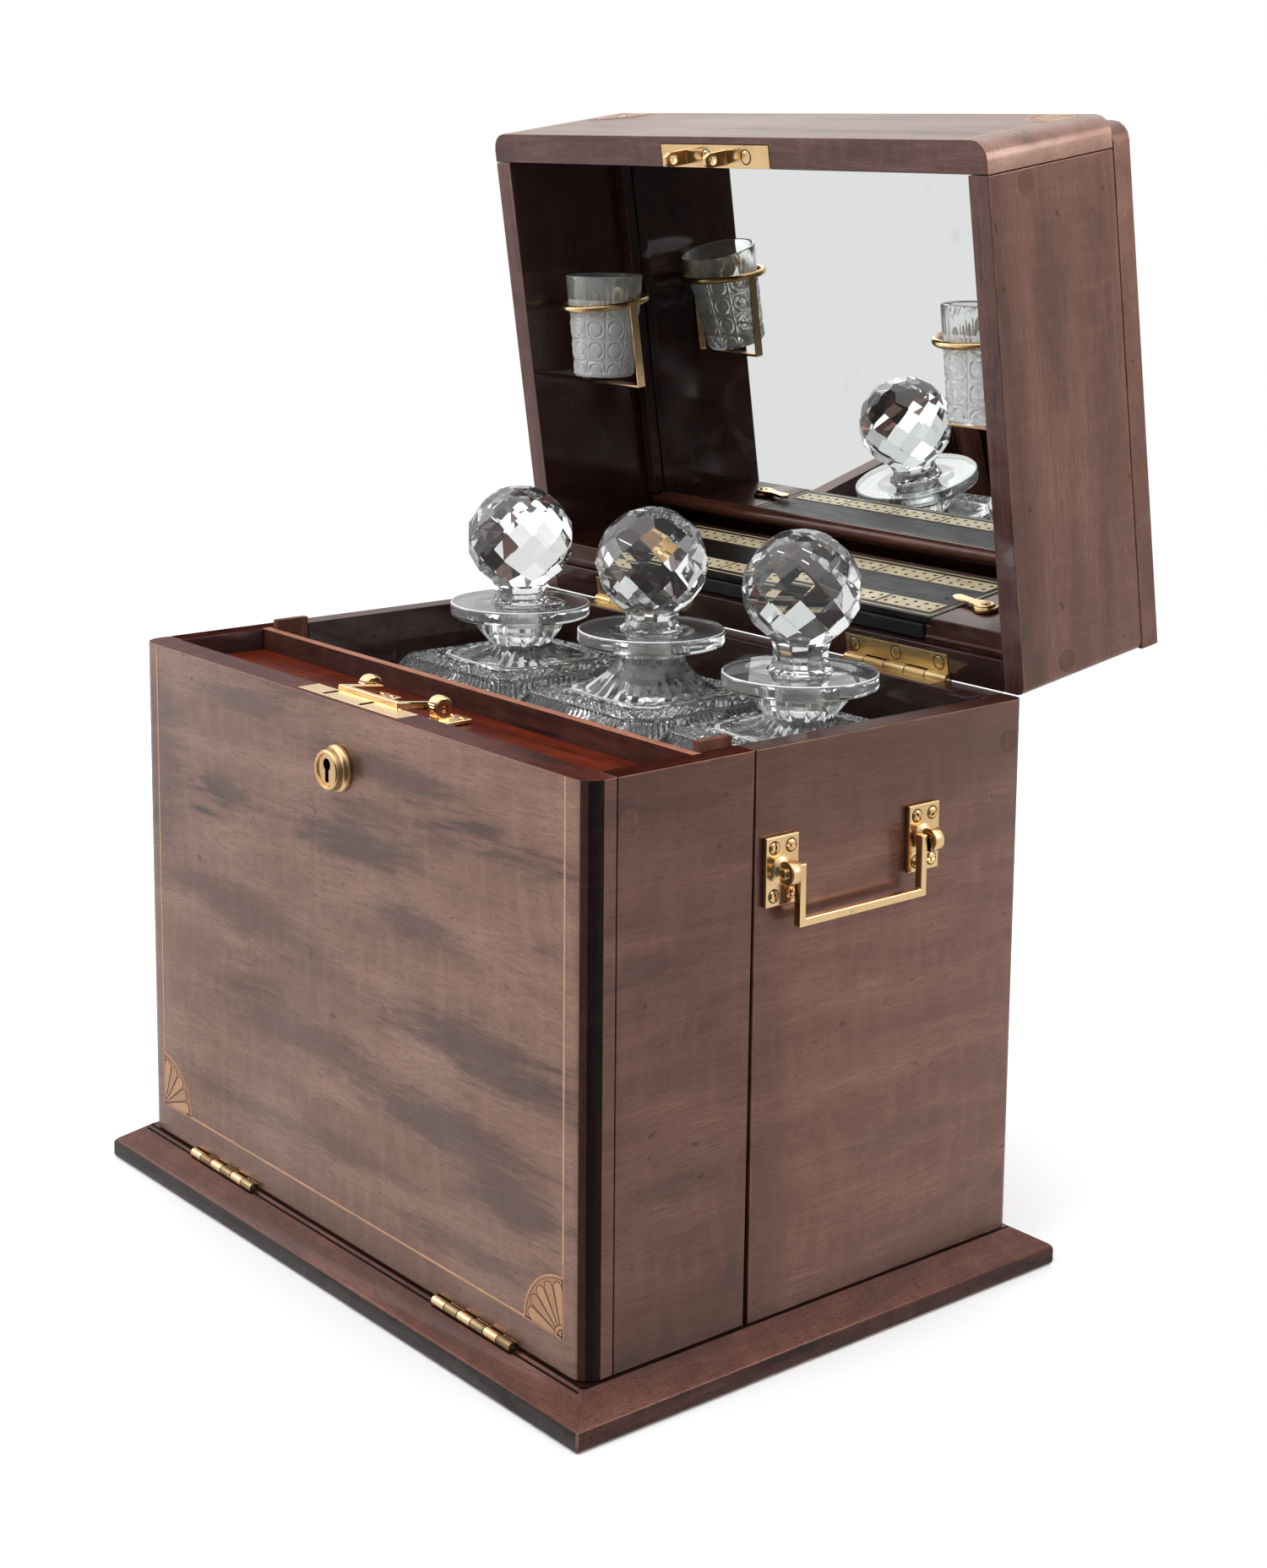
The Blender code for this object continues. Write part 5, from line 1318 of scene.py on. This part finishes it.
MAT_LEATHER, t, bsdf = blank("black_leathercloth", Roughness=0.5, Specular_IOR_Level=0.25)
co = t.node("ShaderNodeTexCoord").outputs["Object"]
vor = t.t.nodes.new("ShaderNodeTexVoronoi")
vor.feature = "DISTANCE_TO_EDGE"
vor.inputs["Scale"].default_value = 900
t.link(co, vor.inputs["Vector"])
pebble = t.ramp(vor.outputs["Distance"], 0.0, 0.25)
wear = t.noise(co, 70.0, 4.0, 0.6)
t.link(t.mix(t.ramp(wear, 0.5, 0.8), (0.010, 0.012, 0.015), (0.030, 0.031, 0.034)), bsdf.inputs["Base Color"])
t.link(t.ramp(wear, 0.3, 0.7, 0.42, 0.6), bsdf.inputs["Roughness"])
t.link(t.bump(pebble, 0.5, 0.00015), bsdf.inputs["Normal"])
dress("slim_case", MAT_LEATHER, M_LID, bevel=0.0010, segments=3)
MAT_BEARER = wood("bearer_mahogany", dark=(0.030, 0.007, 0.005), mid=(0.070, 0.018, 0.012), light=(0.115, 0.034, 0.022), streak=(0.020, 0.006, 0.005), streak_amount=0.5, seed=11.0, rough=0.36, coat=0.3, coat_rough=0.14, edges=([-0.1537, Y0 + 0.2080, ZR + 0.0022], [0.1537, Y0 + 0.2191, ZR + 0.0640]), edge_tint=(0.36, 0.15, 0.09), edge_amount=0.7)
dress("games_bearer", MAT_BEARER, M_LID, bevel=0.0006)

# ---------------------------------------------------------------- cut glass
MAT_GROUND, t, bsdf = blank("ground_glass", Roughness=0.28, Transmission_Weight=1.0, IOR=1.55, Base_Color=(0.97, 0.98, 0.98))
co = t.node("ShaderNodeTexCoord").outputs["Object"]
t.link(t.ramp(t.noise(t.scaled(co, (300, 300, 2500)), 1.0, 2.0), 0.3, 0.7, 0.20, 0.36), bsdf.inputs["Roughness"])

PER_SIDE = 56
K = PER_SIDE * 4


def unit_circle(k):
    a = math.radians(-45 + 90.0 * k / PER_SIDE)
    return math.cos(a), math.sin(a)


def unit_square(k, chamfer=0.206):
    side, i = divmod(k, PER_SIDE)
    tt = -1 + 2 * i / PER_SIDE
    x, y = ((1, tt), (-tt, 1), (-1, -tt), (tt, -1))[side]
    total = abs(x) + abs(y)
    limit = 2 - chamfer
    if total > limit:
        x, y = x * limit / total, y * limit / total
    return x, y


def polygon_factor(x, y, n):
    a = math.atan2(y, x) % (2 * math.pi / n)
    return math.cos(math.pi / n) / math.cos(a - math.pi / n)


def groove(t, period, half_width):
    """1 on the line of a cut, falling to 0 at half_width steps from it."""
    return max(0.0, 1 - abs((t % period) - period / 2) / half_width)


def decanter(name, cx, kind, top):
    bm = bmesh.new()
    cy = ya(0.1672)
    loops = []

    def ring(q, size, h, cut=0.0, phase=0, poly=0, period=2, sinks=None):
        """q is 0 for a circle and 1 for the square; cut sinks every other point to make ridges."""
        vs = []
        for k in range(K):
            ux, uy = unit_circle(k)
            if poly:
                f = polygon_factor(ux, uy, poly)
                ux, uy = ux * f, uy * f
            sx_, sy_ = unit_square(k)
            x, y = ux * (1 - q) + sx_ * q, uy * (1 - q) + sy_ * q
            if sinks:
                sink = sinks(k)
            else:
                sink = cut if (k + phase) % period >= period / 2 else 0.0
            r = size - sink * 0.35
            vs.append(bm.verts.new((cx + x * r, cy + y * r, ZR + h - sink)))
        loops.append(vs)
        return vs

    base = -0.2237
    low = top - 0.0066
    # lip and flange: a flat disc with crisp arrises
    ring(0, 0.0108, top - 0.0004)
    ring(0, 0.0112, top)
    ring(0, 0.0318, top)
    ring(0, 0.0328, top)
    ring(0, 0.0333, top - 0.0004)
    ring(0, 0.0335, top - 0.0010)
    ring(0, 0.0335, low + 0.0014)
    ring(0, 0.0332, low + 0.0005)
    ring(0, 0.0325, low)
    ring(0, 0.0312, low)
    if kind == "drum":
        ring(0, 0.0222, low - 0.0003, poly=12)
        ring(0, 0.0214, low - 0.0010, poly=12)
        ring(0, 0.0213, -0.0022, poly=12)
        ring(0, 0.0209, -0.0029, poly=12)
        ring(0, 0.0151, -0.0097, poly=12)
        ring(0, 0.0147, -0.0102)
        neck_to = len(loops) - 1
        flare = ((0.0152, -0.0109, 0.0003), (0.0168, -0.0120, 0.0010), (0.0194, -0.0134, 0.0015), (0.0225, -0.0146, 0.0017), (0.0256, -0.0155, 0.0015), (0.0280, -0.0161, 0.0009))
    else:
        ring(0, 0.0196, low - 0.0004)
        ring(0, 0.0172, low - 0.0014, poly=16)
        ring(0, 0.0162, low - 0.0032, poly=16)
        ring(0, 0.0156, -0.0002, poly=16)
        ring(0, 0.0158, -0.0026)
        ring(0, 0.0172, -0.0054)
        ring(0, 0.0194, -0.0079)
        neck_to = len(loops) - 1
        flare = ((0.0216, -0.0099, 0.0004), (0.0238, -0.0119, 0.0008), (0.0258, -0.0137, 0.0011), (0.0272, -0.0150, 0.0010), (0.0284, -0.0160, 0.0006))
    for i, (r, h, cut) in enumerate(flare):
        ring(0.04 * i, r, h, sinks=lambda k, cut=cut: cut * (1 - abs((k % 8) - 4) / 4))
    ring(0.55, 0.0293, -0.0162)
    ring(0.80, 0.0296, -0.0164)
    # one mitre along each edge, then long diagonals that cross in a band of diamonds
    ring(1, 0.0300, -0.0163)
    ring(1, 0.0309, -0.0180)
    ring(1, 0.0318, -0.0165)
    M = 8
    for j in range(M + 1):
        level = -0.0166 - 0.0015 * j / M

        def sinks(k, j=j):
            big = 0.0019 * max(groove(k + j, 16, 1.6), groove(k - j, 16, 1.6))
            small = 0.0010 * max(groove(k + j, 4, 1.0), groove(k - j, 4, 1.0))
            return max(big, small)

        ring(1, 0.0321 + 0.0091 * j / M, level, sinks=sinks)
    ring(1, 0.0415, -0.0181)
    ring(1, 0.0421, -0.0199)
    ring(1, 0.0428, -0.0184)
    # band of prisms running out to the edge
    ring(1, 0.0431, -0.0187, cut=0.0020)
    ring(1, 0.0450, -0.0203, cut=0.0026)
    ring(1, 0.0464, -0.0224, cut=0.0024)
    ring(1, 0.0474, -0.0249, cut=0.0016)
    ring(1, 0.0478, -0.0264, cut=0.0005)
    ring(1, 0.0476, -0.0272)
    side_from = len(loops) - 1
    rows = 72
    step = 0.1770 / rows
    z0 = -0.0284
    heights = {}
    for j in range(rows + 1):
        vs = []
        for k in range(K):
            p1, p2 = (k + j) % 4, (k - j) % 4
            a, b = min(p1, 4 - p1), min(p2, 4 - p2)
            rise = min(a, b) / 2
            if j in (0, rows):
                rise = 0
            heights[(j, k)] = rise
            x, y = unit_square(k)
            r = 0.0478 - 0.0012 * (1 - rise)
            vs.append(bm.verts.new((cx + x * r, cy + y * r, ZR + z0 - step * j)))
        loops.append(vs)
    side_to = len(loops) - 1
    ring(1, 0.0473, z0 - 0.1770 - 0.0010)
    ring(1, 0.0473, base + 0.0030)
    ring(1, 0.0465, base + 0.0010)
    ring(1, 0.0453, base)
    ring(1, 0.0415, base)
    # star cut in the base
    ring(0.3, 0.0320, base + 0.0012, cut=-0.0011, period=8)
    ring(0, 0.0120, base + 0.0016, cut=-0.0008, period=8)
    made = []
    for li, (a, b) in enumerate(zip(loops, loops[1:])):
        sides = side_from < li < side_to
        for k in range(K):
            quad = (a[k], a[(k + 1) % K], b[(k + 1) % K], b[k])
            if sides:
                j = li - side_from - 1
                h1, h2 = heights[(j, k)], heights[(j + 1, k)]
                h3, h4 = heights[(j + 1, (k + 1) % K)], heights[(j, (k + 1) % K)]
                one = abs(h1 - h3) <= abs(h2 - h4)
            elif li > neck_to:
                one = (quad[0].co.z + quad[2].co.z) <= (quad[1].co.z + quad[3].co.z)
            else:
                made.append((li, bm.faces.new(quad)))
                continue
            if one:
                made.append((li, bm.faces.new((quad[0], quad[1], quad[2]))))
                made.append((li, bm.faces.new((quad[0], quad[2], quad[3]))))
            else:
                made.append((li, bm.faces.new((quad[0], quad[1], quad[3]))))
                made.append((li, bm.faces.new((quad[1], quad[2], quad[3]))))
    bm.normal_update()
    # painted glints: on the flange the arrises take the palest glass as bright rim lines; below it, cut faces turned
    # toward the light above take the palest glass and the others stay clear, so each ridge has a bright and a dark
    # side, and the base takes the palest glass too
    painted_glint_dir = Vector((-0.55, -0.25, 0.80)).normalized()
    for li, f in made:
        if li < neck_to:
            f.material_index = 0 if li in (1, 2, 6) else 2 if li in (3, 7) else 1
        else:
            n = f.normal if f.normal.dot(f.calc_center_median() - Vector((cx, cy, ZR - 0.12))) > 0 else -f.normal
            side_on = li > side_from
            f.material_index = 2 if n.dot(painted_glint_dir) > (0.25 if side_on else 0.80) else 0
    bm.faces.new(loops[-1]).material_index = 2
    # the hollow inside
    outer_first = loops[0]
    loops = []
    ring(0, 0.0106, -0.0160)
    ring(0.15, 0.0150, -0.0205)
    ring(0.7, 0.0260, -0.0250)
    ring(1, 0.0330, -0.0290)
    ring(1, 0.0383, -0.0340)
    ring(1, 0.0393, -0.0390)
    ring(1, 0.0393, base + 0.0160)
    ring(1, 0.0360, base + 0.0125)
    chain = [outer_first] + loops
    for a, b in zip(chain, chain[1:]):
        for k in range(K):
            bm.faces.new((a[k], a[(k + 1) % K], b[(k + 1) % K], b[k]))
    bm.faces.new(loops[-1])
    o = piece(f"{name}_cut", bm, [MAT_GLASS, MAT_FLANGE, MAT_GLINT], f"{name.split('_')[1]}_decanter", smooth=18)
    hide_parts(name)


decanter("decanter_left", -0.0985, "drum", 0.0097)
decanter("decanter_middle", 0.0, "neck", 0.0118)
decanter("decanter_right", 0.0985, "drum", 0.0090)

BALL = 0.0258
# elevation, facets in the row, turn, distance from the centre
FACET_ROWS = (
    (-50, 10, 0.5, 0.950),
    (-34, 10, 0.0, 0.952),
    (-17, 10, 0.5, 0.950),
    (0, 10, 0.0, 0.955),
    (17, 10, 0.5, 0.950),
    (34, 10, 0.0, 0.952),
    (51, 10, 0.5, 0.950),
    (69, 5, 0.25, 0.958),
)


def stopper(name, cx, centre, spin, top):
    bm = bmesh.new()
    add_box(bm, (-BALL, BALL), (-BALL, BALL), (-BALL, BALL * 0.955))
    for elevation, count, phase, keep in FACET_ROWS:
        for k in range(count):
            a = 2 * math.pi * (k + phase) / count + spin
            e = math.radians(elevation)
            n = Vector((math.cos(e) * math.cos(a), math.cos(e) * math.sin(a), math.sin(e)))
            cut = bmesh.ops.bisect_plane(
                bm, geom=bm.verts[:] + bm.edges[:] + bm.faces[:], plane_co=n * BALL * keep, plane_no=n, clear_outer=True, dist=1e-7
            )
            edges = [g for g in cut["geom_cut"] if isinstance(g, bmesh.types.BMEdge)]
            if edges:
                bmesh.ops.contextual_create(bm, geom=edges)
    # the neck starts where the ball is cut flat
    neck_z = -BALL * 0.835
    cut = bmesh.ops.bisect_plane(
        bm, geom=bm.verts[:] + bm.edges[:] + bm.faces[:], plane_co=(0, 0, neck_z), plane_no=(0, 0, -1), clear_outer=True, dist=1e-7
    )
    edges = [g for g in cut["geom_cut"] if isinstance(g, bmesh.types.BMEdge)]
    ring = sorted({v for e in edges for v in e.verts}, key=lambda v: math.atan2(v.co.y, v.co.x))
    collar = top + 0.0003 - centre
    profile = [
        (0.93, 0.0125, neck_z - 0.0012),
        (0.93, 0.0117, neck_z - 0.0038),
        (0.93, 0.0118, collar + 0.0040),
        (0.96, 0.0126, collar + 0.0022),
        (1.0, 0.0136, collar + 0.0010),
        (1.0, 0.0143, collar + 0.0005),
        (1.0, 0.0144, collar),
        (1.0, 0.0097, collar),
        (1.0, 0.0097, collar - 0.0003),
        (1.0, 0.0092, collar - 0.0070),
        (1.0, 0.0086, collar - 0.0120),
    ]
    start = math.atan2(ring[0].co.y, ring[0].co.x)
    n = len(ring)
    rows = []
    for flat, r, z in profile:
        row = []
        for k in range(n):
            for half in (0, 0.5):
                a0 = math.atan2(ring[k].co.y, ring[k].co.x)
                a1 = math.atan2(ring[(k + 1) % n].co.y, ring[(k + 1) % n].co.x)
                if a1 < a0:
                    a1 += 2 * math.pi
                a = a0 + (a1 - a0) * half
                rr = r * (1.0 if half == 0 else (math.cos((a1 - a0) / 2) if flat < 1 else 1.0))
                row.append(bm.verts.new((rr * math.cos(a), rr * math.sin(a), z)))
        rows.append(row)
    for k in range(n):
        a, b = ring[k], ring[(k + 1) % n]
        c0, c1, c2 = rows[0][2 * k], rows[0][2 * k + 1], rows[0][(2 * k + 2) % (2 * n)]
        bm.faces.new((a, b, c2, c1, c0))
    for j, (a, b) in enumerate(zip(rows, rows[1:])):
        for k in range(2 * n):
            f = bm.faces.new((a[k], a[(k + 1) % (2 * n)], b[(k + 1) % (2 * n)], b[k]))
            f.material_index = 1 if j >= 8 else 0
    bm.faces.new(rows[-1])
    bmesh.ops.transform(bm, matrix=Matrix.Translation((cx, ya(0.1672), ZR + centre)), verts=bm.verts)
    o = piece(f"{name}_cut", bm, [MAT_GLASS, MAT_GROUND], f"{name.split('_')[1]}_stopper")
    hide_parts(name)


stopper("stopper_left", -0.0985, 0.0402, 0.30, 0.0097)
stopper("stopper_middle", 0.0, 0.0418, 0.62, 0.0118)
stopper("stopper_right", 0.0985, 0.0440, 0.12, 0.0090)


def tumbler(name, side, k):
    below = 0.0372 if k == 0 else 0.0367
    d, h = ((0.0880, 0.0320), (0.0870, 0.0280))[k]
    at = M_LID @ Vector(((-0.131, 0.131)[k], ya(d), za(h)))
    cells, per = 10, 20
    n = cells * per
    bm = bmesh.new()
    loops = []
    top = 0.0505 - below

    def outer_r(z):
        if z > 0:
            return 0.0182 + (0.0193 - 0.0182) * z / top
        return 0.0150 + (0.0182 - 0.0150) * (z + below - 0.0014) / (below - 0.0014)

    def ring(r, z):
        loops.append([bm.verts.new((r * math.cos(2 * math.pi * i / n), r * math.sin(2 * math.pi * i / n), z)) for i in range(n)])

    ring(0.0178, top - 0.0003)
    ring(0.0184, top)
    ring(0.0191, top - 0.0002)
    ring(0.0193, top - 0.0008)
    ring(outer_r(0.0015), 0.0015)
    z_top, z_foot = 0.0004, -below + 0.0030
    rows = 62
    cell_h = (z_top - z_foot) / 3.25
    plain = len(loops)
    for j in range(rows + 1):
        z = z_top + (z_foot - z_top) * j / rows
        v = (((z_top - z) / cell_h) + 0.25) % 1.0 - 0.5
        vs = []
        for i in range(n):
            u = (i / per) % 1.0 - 0.5
            # a round button with a groove round it, held by crossed mitre cuts
            from_centre = math.hypot(u, v)
            round_ = max(0.0, 1 - abs(from_centre - 0.36) / 0.085)
            cross = max(0.0, 1 - abs(abs(u) - 0.5) / 0.10, 1 - abs(abs(v) - 0.5) / 0.11)
            diag = max(0.0, 1 - abs(abs(u) + abs(v) - 0.78) / 0.09) if from_centre > 0.40 else 0.0
            hollow = 0.35 * max(0.0, 1 - from_centre / 0.26)
            sink = 0.00080 * max(round_, 0.85 * cross, 0.7 * diag) + 0.00020 * hollow
            r = outer_r(z) - 0.00005 - sink
            a = 2 * math.pi * i / n
            vs.append(bm.verts.new((r * math.cos(a), r * math.sin(a), z)))
        loops.append(vs)
    ring(0.0152, -below + 0.0016)
    ring(0.0144, -below + 0.0003)
    ring(0.0130, -below)
    # painted light: the cut body and foot take the pale tumbler glass for the glints of the cuts, and the plain rim
    # takes the flange glass
    for li, (a, b) in enumerate(zip(loops, loops[1:])):
        for i in range(n):
            f = bm.faces.new((a[i], a[(i + 1) % n], b[(i + 1) % n], b[i]))
            f.material_index = 1 if li >= plain - 1 else 2
    bm.faces.new(loops[-1]).material_index = 1
    first = loops[0]
    loops = [first]
    ring(0.0166, 0.0)
    ring(0.0137, -below + 0.0085)
    ring(0.0125, -below + 0.0068)
    ring(0.0100, -below + 0.0062)
    for a, b in zip(loops, loops[1:]):
        for i in range(n):
            bm.faces.new((a[i], b[i], b[(i + 1) % n], a[(i + 1) % n]))
    bm.faces.new(loops[-1])
    bmesh.ops.transform(bm, matrix=Matrix.Translation(at), verts=bm.verts)
    o = piece(f"{name}_cut", bm, [MAT_GLASS, MAT_TUMBLER, MAT_FLANGE], f"{side}_tumbler", smooth=28)
    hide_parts(name)


tumbler("tumbler_left", "left", 0)
tumbler("tumbler_right", "right", 1)

for n in list(nodes):
    if not nodes[n].hide_render:
        print("NOT DRESSED", n)
